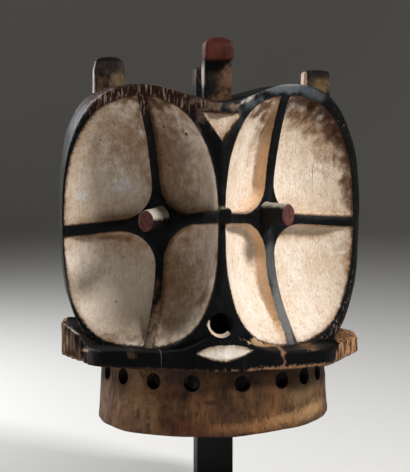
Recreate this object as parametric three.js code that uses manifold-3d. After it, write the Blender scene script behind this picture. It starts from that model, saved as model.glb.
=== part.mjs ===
// Two-faced carved wooden helmet mask on its square display post and foot.
// Millimetres, +Z up, floor at z = 0, the photographed face towards -Y.
import * as THREE from 'three';
import Module from 'manifold-3d';
import { mergeVertices } from 'three/addons/utils/BufferGeometryUtils.js';

const wasm = await Module();
wasm.setup();

// The face is two planes swept back from a nose ridge; each carries one eye dish.
const FACE = { noseX: -8, noseY: 140, sweep: 33 * Math.PI / 180, middleX: -3.2 };
const HEAD = {
  lobeZ: 334, top: 146, bottom: 150, wall: 16, bandSwell: 0.8, valley: 1.03,
  face: {
    mid: 98, left: 94.5, right: 97, dip: 460,
    power: { left: { top: 2.4, bottom: 2.6 }, right: { top: 2.6, bottom: 2.8 } },
  },
  crown: {
    mid: 84, left: 84, right: 84, dip: 467,
    power: { left: { top: 3.0, bottom: 2.6 }, right: { top: 2.6, bottom: 2.8 } },
  },
};
const EYE = {
  u: 98, z: 336, half: 93, top: 132, bottom: 134, bar: 30, floor: 44, lid: 24,
  power: { top: { nose: 2.5, rim: 2.35 }, bottom: { nose: 2.6, rim: 2.85 } },
};
// Middle line of each upright bar at five heights, foot to top, and the ends of each level bar.
const BARS = {
  left: { noseZ: 343.5, rimZ: 321.5, up: [87.2, 87.4, 91.5, 92.4, 94.2], half: 5 },
  right: { noseZ: 341, rimZ: 329.5, up: [100.5, 92.3, 93.5, 90.3, 88.2], half: 6.3 },
  back: { noseZ: 342, rimZ: 326, up: [96, 93, 92, 92, 93], half: 5.5 },
  level: 5.2, corner: 24,
};
const PEG = {
  length: 36, wide: 19, tall: 24, root: 4, edge: 1.2,
  left: { u: 86.5, z: 338.5, droop: 1.5 }, right: { u: 87, z: 342, droop: 0 },
  far: { u: 90, z: 337, droop: 1 },
};
const KNOB = { x: -6, z: 344.5, wide: 15, tall: 16, out: 5, root: 14 };
const TRIANGLE = { brow: [[-27, 451], [11, 447]], apex: [-7, 419.5], floor: 127 };
const LENS = { x: -5, z: 203.5, wide: 62, tall: 20, deep: 5, turn: 3, point: 1.7, blunt: 0.02 };
const MOUTH = { x: -8.5, z: 231, across: 23 };
const FLANGE = {
  under: 183, over: 201.5, chin: [-5, 144], chinRise: 21, chinSpread: 34, bow: 5, endBow: 2,
  leftRise: { tall: 18, from: 146, over: 17 },
  shoulder: { left: [-139, 94], right: [108, 118] }, end: { left: [-171, 8], right: [161, 26] },
};
const COLLAR = {
  outer: 125, foot: 129, under: 112, bore: 111, tilt: 0.028,
  hole: 16.5, holeZ: 168, holeAt: [-75, -58, -37.5, -17.5, 7, 28.5, 44.5, 59, 81],
};
const LUGS = [
  { x: -116, y: 0, wide: 35, deep: 34, foot: 430, top: 511, round: 8 },
  { x: 114, y: 0, wide: 31, deep: 34, foot: 430, top: 497, round: 4 },
  { x: -7, y: -84, wide: 31, deep: 22, foot: 440, top: 510, round: 4 },
  { x: -7, y: -90, wide: 31, deep: 34, foot: 504, top: 529, round: 8 },
  { x: 3.5, y: 85, wide: 31, deep: 34, foot: 440, top: 503, round: 4 },
];
const POST = { side: 40, top: 450 };
const FOOT = { side: 230, thick: 10 };
const LUG_CHAMFER = 3;
const GAP = 0.3;

const palette = {
  mask: new THREE.MeshStandardMaterial({ color: 0x3a2b20, roughness: 0.75 }),
  steel: new THREE.MeshStandardMaterial({ color: 0x14161c, roughness: 0.4, metalness: 0.6 }),
};

// A closed solid from shared points and outward triangles.
function solid(points, faces) {
  return new wasm.Manifold(new wasm.Mesh({
    numProp: 3,
    vertProperties: new Float32Array(points.flat()),
    triVerts: new Uint32Array(faces.flat()),
  }));
}

function fromGeometry(geometry) {
  const bare = geometry.clone();
  bare.deleteAttribute('normal');
  bare.deleteAttribute('uv');
  const merged = mergeVertices(bare, 1e-4);
  const index = merged.index ? Array.from(merged.index.array) : [];
  return new wasm.Manifold(new wasm.Mesh({
    numProp: 3,
    vertProperties: new Float32Array(merged.attributes.position.array),
    triVerts: new Uint32Array(index),
  }));
}

function toGeometry(manifold) {
  const mesh = manifold.getMesh();
  const geometry = new THREE.BufferGeometry();
  geometry.setAttribute('position', new THREE.BufferAttribute(new Float32Array(mesh.vertProperties), 3));
  geometry.setIndex(Array.from(mesh.triVerts));
  geometry.computeVertexNormals();
  return geometry;
}

const mean = (points) => [0, 1, 2].map((k) => points.reduce((sum, p) => sum + p[k], 0) / points.length);

// Skin through loops of equal length. Each end is closed by fans, one for every
// list of stations in `lobes` (all the stations when none is given).
function loft(loops, lobes = null) {
  const n = loops[0].length;
  const points = loops.flat();
  const faces = [];
  for (let j = 0; j + 1 < loops.length; j += 1) {
    for (let i = 0; i < n; i += 1) {
      const a = j * n + i;
      const b = j * n + (i + 1) % n;
      faces.push([a, b, b + n], [a, b + n, a + n]);
    }
  }
  const rings = lobes || [loops[0].map((_, i) => i)];
  [0, (loops.length - 1) * n].forEach((base) => {
    rings.forEach((ring) => {
      const hub = points.length;
      points.push(mean(ring.map((i) => points[base + i])));
      ring.forEach((from, k) => {
        const to = ring[(k + 1) % ring.length];
        faces.push(base ? [hub, base + from, base + to] : [hub, base + to, base + from]);
      });
    });
  });
  const volume = faces.reduce((sum, [a, b, c]) => sum + new THREE.Vector3(...points[a])
    .dot(new THREE.Vector3(...points[b]).cross(new THREE.Vector3(...points[c]))), 0);
  return solid(points, volume < 0 ? faces.map(([a, b, c]) => [a, c, b]) : faces);
}

function block(x0, x1, y0, y1, z0, z1) {
  return fromGeometry(new THREE.BoxGeometry(x1 - x0, y1 - y0, z1 - z0))
    .translate([(x0 + x1) / 2, (y0 + y1) / 2, (z0 + z1) / 2]);
}

const signedPower = (v, p) => Math.sign(v) * Math.abs(v) ** p;

function smooth(t) {
  const k = Math.min(1, Math.max(0, t));
  return k * k * (3 - 2 * k);
}

// A place on an eye's outline, which is fuller in some quarters than in others.
function eyePoint(angle, grow = 0) {
  const level = Math.sin(angle) > 0 ? 'top' : 'bottom';
  const power = EYE.power[level][Math.cos(angle) > 0 ? 'rim' : 'nose'];
  return [
    EYE.u + (EYE.half + grow) * signedPower(Math.cos(angle), 2 / power),
    EYE.z + (EYE[level] + grow) * signedPower(Math.sin(angle), 2 / power),
  ];
}

const barBowl = (r) => EYE.bar * (1 - r * r);
const floorBowl = (r) => EYE.floor * (1 - r ** 3);

// Face coordinates (u along the swept plane, z, depth below it) to space.
function faceToSpace(side, u, z, depth) {
  const c = Math.cos(FACE.sweep);
  const s = Math.sin(FACE.sweep);
  return [FACE.noseX + side * (u * c - depth * s), -FACE.noseY + u * s + depth * c, z];
}

// The far face is the near one turned half round the vertical through the middle.
function toBack(manifold) {
  return manifold.translate([-FACE.middleX, 0, 0]).rotate([0, 0, 180]).translate([FACE.middleX, 0, 0]);
}

// Outline stations: dip, right lobe, round to the foot, left lobe, back to the dip.
function stations(count) {
  const right = [];
  for (let i = 0; i < count.top; i += 1) right.push({ lobe: i / count.top, angle: Math.PI / 2 });
  for (let i = 0; i <= count.turn * 2; i += 1) {
    right.push({ lobe: 1, angle: Math.PI / 2 - (i / (count.turn * 2)) * Math.PI });
  }
  for (let i = count.low - 1; i >= 0; i -= 1) right.push({ lobe: i / count.low, angle: -Math.PI / 2 });
  const left = right.slice(1, -1).reverse();
  return right.map((r) => ({ ...r, side: 1 })).concat(left.map((r) => ({ ...r, side: -1 })));
}

// A place on one of the head's outlines: the face's rim or the crown line of the band.
function outlinePoint(st, curve, inset) {
  const name = st.side > 0 ? 'right' : 'left';
  const level = st.angle > 0 ? 'top' : 'bottom';
  const power = curve.power[name][level];
  const reach = (curve[name] - inset) * signedPower(Math.cos(st.angle), 2 / power);
  const top = HEAD.lobeZ + HEAD.top - inset;
  let z = HEAD.lobeZ + (HEAD[level] - inset) * signedPower(Math.sin(st.angle), 2 / power);
  if (st.angle > 0 && st.lobe < 1) {
    const dip = curve.dip - inset;
    z = dip + (top - dip) * smooth(st.lobe * HEAD.valley);
  }
  return [st.side * (curve.mid + reach) * st.lobe, z];
}

function headBody(inset, around, along) {
  const st = stations(around);
  const front = st.map((s) => outlinePoint(s, HEAD.face, inset));
  const middle = st.map((s) => outlinePoint(s, HEAD.crown, inset));
  const loops = [];
  for (let j = 0; j <= along; j += 1) {
    const t = -1 + (2 * j) / along;
    const swell = (1 - t * t) ** HEAD.bandSwell;
    loops.push(front.map(([s, z], i) => {
      const side = s < 0 ? -1 : 1;
      const rim = faceToSpace(side, Math.abs(s), z, inset);
      const edgeX = t < 0 ? rim[0] : 2 * FACE.middleX - faceToSpace(-side, Math.abs(s), z, inset)[0];
      const midX = FACE.middleX + middle[i][0];
      return [edgeX + (midX - edgeX) * swell, -t * rim[1], z + (middle[i][1] - z) * swell];
    }));
  }
  // Each end is two flat faces meeting on the ridge between the dip and the foot.
  const half = front.length / 2;
  const every = front.map((_, i) => i);
  return loft(loops, [every.slice(0, half + 1), every.slice(half).concat([0])]);
}

// A bowl in face coordinates, open lid above the plane so that it cuts cleanly.
function bowl(side, depthOf, grow, rings, around, lid) {
  const loops = [];
  const at = (r, k) => {
    const [u, z] = eyePoint((k / around) * 2 * Math.PI, grow);
    return [EYE.u + (u - EYE.u) * r, EYE.z + (z - EYE.z) * r];
  };
  const ring = (r, depth) => Array.from({ length: around }, (_, k) => {
    const [u, z] = at(r, k);
    return faceToSpace(side, u, z, depth);
  });
  loops.push(ring(1, -lid));
  for (let j = 0; j <= rings; j += 1) {
    const r = Math.cos((j / (rings + 1)) * (Math.PI / 2));
    loops.push(ring(r, depthOf(r)));
  }
  return loft(loops);
}

// Middle of the upright bar at a height, a smooth line through its five stations.
function barU(bars, z) {
  const k = (z - EYE.z) / (z > EYE.z ? EYE.top : EYE.bottom);
  const at = Math.min(3.999, Math.max(0, 2 + 2 * k));
  const i = Math.floor(at);
  const t = at - i;
  const [a, b, c, d] = [-1, 0, 1, 2].map((step) => bars.up[Math.min(4, Math.max(0, i + step))]);
  return b + 0.5 * t * (c - a + t * (2 * a - 5 * b + 4 * c - d + t * (3 * (b - c) + d - a)));
}

function barZ(bars, u) {
  return bars.noseZ + (bars.rimZ - bars.noseZ) * ((u - EYE.u + EYE.half) / (2 * EYE.half));
}

// Plan of one painted panel: along the upright bar, a turned corner, along the level bar.
function panelPlan(bars, out, up, steps) {
  const far = EYE.half + 30;
  const tall = EYE.bottom + 30;
  const cornerZ = barZ(bars, bars.up[2] + out * BARS.corner) + up * BARS.level;
  const cornerU = barU(bars, cornerZ + up * BARS.corner) + out * bars.half;
  const plan = [];
  for (let i = steps; i >= 0; i -= 1) {
    const z = cornerZ + up * (BARS.corner + (i / steps) * (tall - BARS.corner - 8));
    plan.push([barU(bars, z) + out * bars.half, z]);
  }
  for (let i = 1; i < steps; i += 1) {
    const turn = (i / steps) * Math.PI / 2;
    plan.push([
      cornerU + out * BARS.corner * (1 - Math.cos(turn)),
      cornerZ + up * BARS.corner * (1 - Math.sin(turn)),
    ]);
  }
  for (let i = 0; i <= steps; i += 1) {
    const u = cornerU + out * (BARS.corner + (i / steps) * (far - BARS.corner));
    plan.push([u, barZ(bars, u) + up * BARS.level]);
  }
  plan.push([cornerU + out * far, cornerZ + up * tall]);
  return plan;
}

function panelPrism(side, plan) {
  const level = (depth) => plan.map(([u, z]) => faceToSpace(side, u, z, depth));
  return loft([level(-EYE.lid - 1), level(EYE.floor + 6)]);
}

// Everything carved away to make one eye: the crossed bowl and four deeper panels.
function eyeCut(side, bars, rings, around) {
  const quarters = [[1, 1], [1, -1], [-1, 1], [-1, -1]]
    .map(([out, up]) => panelPrism(side, panelPlan(bars, out, up, 4)));
  const panels = wasm.Manifold.union(quarters).intersect(bowl(side, floorBowl, 0, rings, around, EYE.lid));
  return bowl(side, barBowl, 0, rings, around, EYE.lid).add(panels);
}

// An eye peg: an oval stub along the dish normal, a little drooping.
function peg(side, place) {
  const ring = (depth, grow) => Array.from({ length: 20 }, (_, k) => {
    const a = (k / 20) * 2 * Math.PI;
    const along = (EYE.bar - depth) / PEG.length;
    return faceToSpace(side,
      place.u + (PEG.wide / 2 - grow) * Math.cos(a),
      place.z + (PEG.tall / 2 - grow) * Math.sin(a) - place.droop * along, depth);
  });
  return loft([ring(EYE.floor + PEG.root, -PEG.edge), ring(EYE.bar, 0),
    ring(EYE.bar - PEG.length + PEG.edge, PEG.edge / 2), ring(EYE.bar - PEG.length, 2 * PEG.edge)]);
}

// Prism standing out of the face towards the viewer, from a front outline.
function frontPrism(outline, nearY, farY) {
  return loft([outline.map(([x, z]) => [x, -nearY, z]), outline.map(([x, z]) => [x, -farY, z])]);
}

// A crest lug: squared stub with turned-down top corners.
function lug({ x, y, wide, deep, foot, top, round }) {
  const ring = (z, grow) => {
    const w = wide / 2 - grow;
    const d = deep / 2 - grow;
    const c = LUG_CHAMFER;
    return [[w - c, -d], [w, -d + c], [w, d - c], [w - c, d], [-w + c, d], [-w, d - c], [-w, -d + c],
      [-w + c, -d]].map(([a, b]) => [x + a, y + b, z]);
  };
  return loft([ring(foot, 0), ring(top - round, 0), ring(top - round * 0.35, round * 0.25),
    ring(top, round * 0.8)]);
}

// Jaw flange plan: a shallow bow in front, cut back across the corners to the ends.
function flangeHalf(steps) {
  const { chin, shoulder, end, bow, endBow } = FLANGE;
  const bend = (from, to, swell) => Array.from({ length: steps }, (_, i) => {
    const t = i / steps;
    const lift = swell * 4 * t * (1 - t);
    return [from[0] + (to[0] - from[0]) * t, -(from[1] + (to[1] - from[1]) * t + lift)];
  });
  const closed = bend(end.left, shoulder.left, endBow).concat(
    bend(shoulder.left, chin, bow), bend(chin, shoulder.right, bow), bend(shoulder.right, end.right, endBow));
  return closed.concat([[end.right[0], -end.right[1]]]);
}

// The flange rises at its left end and, in a soft hump, under each chin.
function flange() {
  const front = flangeHalf(4);
  const turned = ([x, y]) => [2 * FACE.middleX - x, -y];
  const top = ([x, y]) => {
    const near = y < 0 ? x : 2 * FACE.middleX - x;
    const { leftRise, chin, chinRise, chinSpread } = FLANGE;
    const end = leftRise.tall * smooth((FACE.middleX - x - leftRise.from) / leftRise.over);
    return FLANGE.over + end + chinRise * Math.exp(-(((near - chin[0]) / chinSpread) ** 2));
  };
  const plan = front.concat(front.map(turned));
  return loft([plan.map(([x, y]) => [x, y, FLANGE.under]), plan.map((p) => [...p, top(p)])]);
}

// How far the flange's front stands out at a place across it.
function flangeFront(x) {
  const { chin, shoulder, bow } = FLANGE;
  const [sx, sy] = x > chin[0] ? shoulder.right : shoulder.left;
  const t = (x - chin[0]) / (sx - chin[0]);
  return chin[1] + (sy - chin[1]) * t + 4 * bow * t * (1 - t);
}

// The pointed lens under the mouth, a scoop that follows the front's bow.
function lens() {
  const turn = LENS.turn * Math.PI / 180;
  const station = (k) => Array.from({ length: 12 }, (_, i) => {
    const a = (i / 12) * 2 * Math.PI;
    const across = (k * LENS.wide) / 2;
    const open = 1 + LENS.blunt - Math.abs(k) ** LENS.point;
    const z = (LENS.tall / 2) * open * Math.cos(a);
    const x = LENS.x + across * Math.cos(turn) - z * Math.sin(turn);
    const y = -flangeFront(x) + LENS.deep * Math.sqrt(open) * Math.sin(a);
    return [x, y, LENS.z + across * Math.sin(turn) + z * Math.cos(turn)];
  });
  return loft(Array.from({ length: 13 }, (_, j) => station(-1 + j / 6)));
}

function collar() {
  const { outer, foot, under, bore, tilt } = COLLAR;
  const profile = [[bore, under - 8], [foot, under - 8], [foot, under + 14], [outer, FLANGE.under],
    [outer, FLANGE.over], [bore, FLANGE.over]];
  const lathe = new THREE.LatheGeometry(profile.concat([profile[0]])
    .map(([r, z]) => new THREE.Vector2(r, z)), 54);
  const ring = fromGeometry(lathe).rotate([90, 0, 0]);
  const slope = new THREE.Vector3(-tilt, 0, 1).normalize();
  return ring.trimByPlane(slope.toArray(), under * slope.z);
}

function lashingHoles() {
  const { outer, bore, hole, holeZ, holeAt } = COLLAR;
  const drill = fromGeometry(new THREE.CylinderGeometry(hole / 2, hole / 2, outer - bore + 16, 12));
  const place = (degrees) => drill.translate([0, -(outer + bore) / 2, 0])
    .rotate([0, 0, degrees]).translate([0, 0, holeZ]);
  const both = holeAt.concat(holeAt.map((d) => d + 180));
  return wasm.Manifold.union(both.map(place));
}

// The room inside: the head drawn in by its wall, opened below, clear of the eye dishes.
function hollow() {
  const inner = headBody(HEAD.wall, { top: 6, turn: 5, low: 2 }, 4);
  const behind = (r) => HEAD.wall + EYE.floor * (1 - r ** 3);
  const bumps = [1, -1].map((side) => bowl(side, behind, 6, 4, 24, EYE.lid + HEAD.wall));
  const back = bumps.map(toBack);
  const throat = fromGeometry(new THREE.CylinderGeometry(COLLAR.bore, COLLAR.bore, 110, 54))
    .rotate([90, 0, 0]).translate([0, 0, COLLAR.under - 12 + 55]);
  return inner.add(throat).subtract(wasm.Manifold.union([...bumps, ...back]));
}

function carvedMask() {
  let body = headBody(0, { top: 7, turn: 7, low: 2 }, 6).add(flange()).add(collar());
  LUGS.forEach((l) => { body = body.add(lug(l)); });
  const near = [eyeCut(1, BARS.right, 4, 36), eyeCut(-1, BARS.left, 4, 36)];
  const far = [1, -1].map((side) => toBack(eyeCut(side, BARS.back, 3, 24)));
  body = body.subtract(wasm.Manifold.union([...near, ...far])).subtract(hollow());
  const knob = block(KNOB.x - KNOB.wide / 2, KNOB.x + KNOB.wide / 2, -FACE.noseY - KNOB.out,
    -FACE.noseY + KNOB.root, KNOB.z - KNOB.tall / 2, KNOB.z + KNOB.tall / 2);
  const nearPegs = [peg(1, PEG.right), peg(-1, PEG.left)];
  const farPegs = [1, -1].map((side) => toBack(peg(side, PEG.far)));
  body = body.add(wasm.Manifold.union([knob, toBack(knob), ...nearPegs, ...farPegs]));
  const { apex, brow, floor } = TRIANGLE;
  body = body.subtract(frontPrism([brow[0], brow[1], apex], FACE.noseY + 20, floor));
  const mouth = fromGeometry(new THREE.CylinderGeometry(MOUTH.across / 2, MOUTH.across / 2, 90, 24))
    .translate([MOUTH.x, -FACE.noseY, MOUTH.z]);
  return body.subtract(mouth).subtract(lens()).subtract(lashingHoles());
}

const root = new THREE.Group();
root.name = 'helmet_mask_display';

// Adds one named piece to the group.
function piece(name, manifold, material) {
  const mesh = new THREE.Mesh(toGeometry(manifold), material);
  mesh.name = name;
  root.add(mesh);
}

piece('helmet_mask', carvedMask(), palette.mask);
piece('display_post', block(-POST.side / 2, POST.side / 2, -POST.side / 2, POST.side / 2,
  FOOT.thick + GAP, POST.top), palette.steel);
piece('display_foot', block(-FOOT.side / 2, FOOT.side / 2, -FOOT.side / 2, FOOT.side / 2, 0, FOOT.thick),
  palette.steel);

export default root;
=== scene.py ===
"""Two-faced Bembe helmet mask on its display post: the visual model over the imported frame.

Sizes are millimetres in the CAD frame (+Z up, the photographed face towards -Y) until a mesh
is written, when they become metres.
"""

import logging
import math
from dataclasses import dataclass
from enum import IntEnum
from typing import Callable, Iterable, Sequence

import bpy
import numpy as np
from mathutils import Matrix, Vector, noise


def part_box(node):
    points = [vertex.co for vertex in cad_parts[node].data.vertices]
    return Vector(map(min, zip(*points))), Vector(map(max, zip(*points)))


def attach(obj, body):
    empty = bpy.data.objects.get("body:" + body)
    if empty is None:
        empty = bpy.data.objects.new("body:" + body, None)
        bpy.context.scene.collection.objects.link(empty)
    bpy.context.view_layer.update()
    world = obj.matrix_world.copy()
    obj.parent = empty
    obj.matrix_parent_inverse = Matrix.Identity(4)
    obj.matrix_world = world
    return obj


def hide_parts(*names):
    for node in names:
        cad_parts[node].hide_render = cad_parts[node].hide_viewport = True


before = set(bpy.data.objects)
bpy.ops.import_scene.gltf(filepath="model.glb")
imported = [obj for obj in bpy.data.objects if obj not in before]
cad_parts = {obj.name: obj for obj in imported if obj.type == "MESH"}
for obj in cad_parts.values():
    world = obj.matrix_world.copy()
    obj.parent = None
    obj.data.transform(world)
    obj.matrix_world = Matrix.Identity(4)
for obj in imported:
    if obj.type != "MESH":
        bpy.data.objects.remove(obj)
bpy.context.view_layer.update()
LOG = logging.getLogger("mask")
logging.basicConfig(level=logging.INFO, format="%(message)s")

MM = 0.001
Array = np.ndarray
Object = bpy.types.Object
Material = bpy.types.Material


# Sizes

@dataclass(frozen=True)
class CurveSizes:
    """One outline of the head: lobes on each side of a dip."""
    mid: float
    left: float
    right: float
    dip: float
    top_left: float
    top_right: float
    bottom_left: float = 2.6
    bottom_right: float = 2.8


@dataclass(frozen=True)
class HeadSizes:
    """Outlines of the helmet and its wall."""
    lobe_z: float = 334.0
    top: float = 146.0
    bottom: float = 150.0
    wall: float = 16.0
    swell: float = 0.8  # power of the band's bulge from face to face
    face: CurveSizes = CurveSizes(98.0, 94.5, 97.0, 460.0, 2.4, 2.6)
    crown: CurveSizes = CurveSizes(84.0, 84.0, 84.0, 467.0, 3.0, 2.6)


@dataclass(frozen=True)
class EyeSizes:
    """One eye dish: its outline and its two bowl depths."""
    u: float = 98.0
    z: float = 336.0
    half: float = 93.0
    top: float = 132.0
    bottom: float = 134.0
    bar_depth: float = 30.0
    floor_depth: float = 44.0
    wall: float = 3.2  # width of the step down from a bar
    ease: float = 1.7  # how many times wider the step runs out
    round: float = 2.2  # how quickly it rounds over at its top
    soft: float = 1.3  # how far a bar's arris is worn down
    flare: float = 0.5  # how much a level bar widens at its ends


@dataclass(frozen=True)
class EyeShape:
    """What differs from eye to eye: fullness of the outline, and the crossed bars."""
    powers: tuple  # top nose, top rim, bottom nose, bottom rim
    nose_z: float
    rim_z: float
    up: tuple  # middle of the upright bar, foot to top
    half_up: float
    half_across: float
    turn_top: tuple = (37.0, 34.0)  # reach of the rounded inner corners
    turn_low: tuple = (37.0, 34.0)


@dataclass(frozen=True)
class PegSizes:
    """An eye peg: where it stands on its dish and how far it droops."""
    u: float
    z: float
    droop: float
    length: float = 36.0
    wide: float = 19.0
    tall: float = 24.0


@dataclass(frozen=True)
class FlangeSizes:
    """The jaw flange under both faces."""
    under: float = 183.0
    over: float = 201.5
    chin_rise: float = 21.0
    chin_half: float = 34.0  # half width of the rise at the chin
    chin_lean: float = 6.5  # how far that rise leans back
    left_rise: float = 18.0
    rise_from: float = 142.0
    rise_over: float = 20.0
    bow: float = 5.0
    end_bow: float = 2.0
    stations: int = 440
    worn_reach: float = 150.0  # out to here the plan is worn round, beyond it the ends stay sharp
    worn_passes: int = 24
    end_passes: int = 2
    fibre_from: float = 138.0  # beyond this reach the cut ends are fibrous
    fibre_over: float = 10.0
    fibre_deep: float = 3.0
    chin: tuple = (-5.0, 144.0)
    shoulder_left: tuple = (-139.0, 94.0)
    shoulder_right: tuple = (108.0, 118.0)
    end_left: tuple = (-171.0, 8.0)
    end_right: tuple = (161.0, 26.0)


@dataclass(frozen=True)
class CollarSizes:
    """The bored ring under the flange."""
    outer: float = 125.0
    foot: float = 129.0
    under: float = 112.0
    bore: float = 111.0
    top: float = 190.0  # where it ends inside the flange
    tilt: float = 0.028
    around: int = 300
    hole: float = 16.5
    hole_z: float = 168.0
    hole_at: tuple = (-75.0, -58.0, -37.5, -17.5, 7.0, 28.5, 44.5, 59.0, 81.0)


@dataclass(frozen=True)
class RidgeSizes:
    """How blunt the nose ridge is, and where it widens to the chin and the brow."""
    blunt: float = 4.5
    chin: float = 13.0
    chin_z: float = 262.0
    chin_over: float = 34.0
    brow: float = 7.0
    brow_z: float = 418.0
    brow_over: float = 30.0
    reach: float = 60.0


HEAD = HeadSizes()
EYE = EyeSizes()
FLANGE = FlangeSizes()
COLLAR = CollarSizes()
RIDGE = RidgeSizes()
SHAPE_LEFT = EyeShape((2.35, 2.3, 2.6, 3.0), 343.5, 321.5, (87.2, 87.4, 91.5, 92.4, 94.2), 5.0, 5.3,
                      (38.0, 36.0), (45.0, 41.0))
SHAPE_RIGHT = EyeShape((2.6, 2.35, 2.6, 2.7), 341.0, 329.5, (100.5, 92.3, 93.5, 90.3, 88.2), 6.3, 4.7)
SHAPE_FAR = EyeShape((2.5, 2.35, 2.6, 2.85), 342.0, 326.0, (96.0, 93.0, 92.0, 92.0, 93.0), 5.5, 5.2)
PEG_LEFT = PegSizes(86.5, 338.5, 1.5)
PEG_RIGHT = PegSizes(87.0, 342.0, 0.0)
PEG_FAR = PegSizes(90.0, 337.0, 1.0)
TRIANGLE = ((-30.0, 453.0), (14.5, 449.5), (-7.0, 419.0))  # corners of the forehead hollow
TRIANGLE_FLOOR = -127.0
MOUTH = (-8.5, 231.0, 23.0)  # middle across and up, width
LENS = (-5.0, 203.5, 62.0, 20.0, 5.0, 3.0)  # middle across and up, width, height, depth, turn
KNOB = (-6.0, 344.5, 15.0, 16.0)  # middle across and up, width, height
GRID = 2.34  # spacing of a carved face's points
BAND_ROWS = 28  # rows of points between the two faces


class Slot(IntEnum):
    """Material slots of the mask, in order."""
    FACE = 0
    BAND = 1
    JAW = 2
    COLLAR = 3
    LUG = 4
    PEG = 5
    INSIDE = 6
    PEG_END = 7
    LUG_HEAD = 8


# Fields

def smooth(t: Array) -> Array:
    """Ease from 0 to 1."""
    k = np.clip(t, 0.0, 1.0)
    return k * k * (3.0 - 2.0 * k)


def turns(count: int) -> Array:
    """Even angles once round."""
    return np.linspace(0, 2 * math.pi, count, endpoint=False)


def signed_power(v: Array, p: float) -> Array:
    """Power that keeps the sign."""
    return np.sign(v) * np.abs(v) ** p


def grain(points: Array, size: float, octaves: int = 2, offset: float = 0.0) -> Array:
    """Smooth noise about zero at places given in millimetres.

    Args:
        points: N by 3 places.
        size: Wavelength in millimetres.
        octaves: How many finer layers are summed.
        offset: Moves the sample, so that two calls differ.

    Returns:
        One value for each place, roughly within -1 to 1.
    """
    scaled = points / size + offset
    return np.array([noise.fractal(Vector(p), 0.8, 2.0, octaves) for p in scaled])


@dataclass(frozen=True)
class FaceFrame:
    """The two swept planes that each face is laid out on, and the way into space and back."""
    nose_x: float = -8.0
    nose_y: float = 140.0
    sweep: float = math.radians(33.0)
    middle_x: float = -3.2

    @property
    def cos(self) -> float:
        """Cosine of the sweep."""
        return math.cos(self.sweep)

    @property
    def sin(self) -> float:
        """Sine of the sweep."""
        return math.sin(self.sweep)

    def to_space(self, side: Array, u: Array, z: Array, depth: Array) -> Array:
        """Places on the near face.

        Args:
            side: -1 left of the nose, 1 right of it.
            u: Distance from the nose.
            z: Height.
            depth: Depth below the plane.

        Returns:
            N by 3 places.
        """
        x = self.nose_x + side * (u * self.cos - depth * self.sin)
        y = -self.nose_y + u * self.sin + depth * self.cos
        return np.stack(np.broadcast_arrays(x, y, z), axis=-1).astype(float)

    def from_space(self, points: Array) -> tuple:
        """Undo to_space.

        Args:
            points: N by 3 places on the near face.

        Returns:
            Side, u, z and depth.
        """
        dx = points[:, 0] - self.nose_x
        side = np.where(dx < 0, -1.0, 1.0)
        dy = points[:, 1] + self.nose_y
        u = np.abs(dx) * self.cos + dy * self.sin
        return side, u, points[:, 2], -np.abs(dx) * self.sin + dy * self.cos

    def far(self, points: Array) -> Array:
        """The same places turned half round the vertical, on the other face."""
        return points * (-1, -1, 1) + (2 * self.middle_x, 0, 0)


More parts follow.
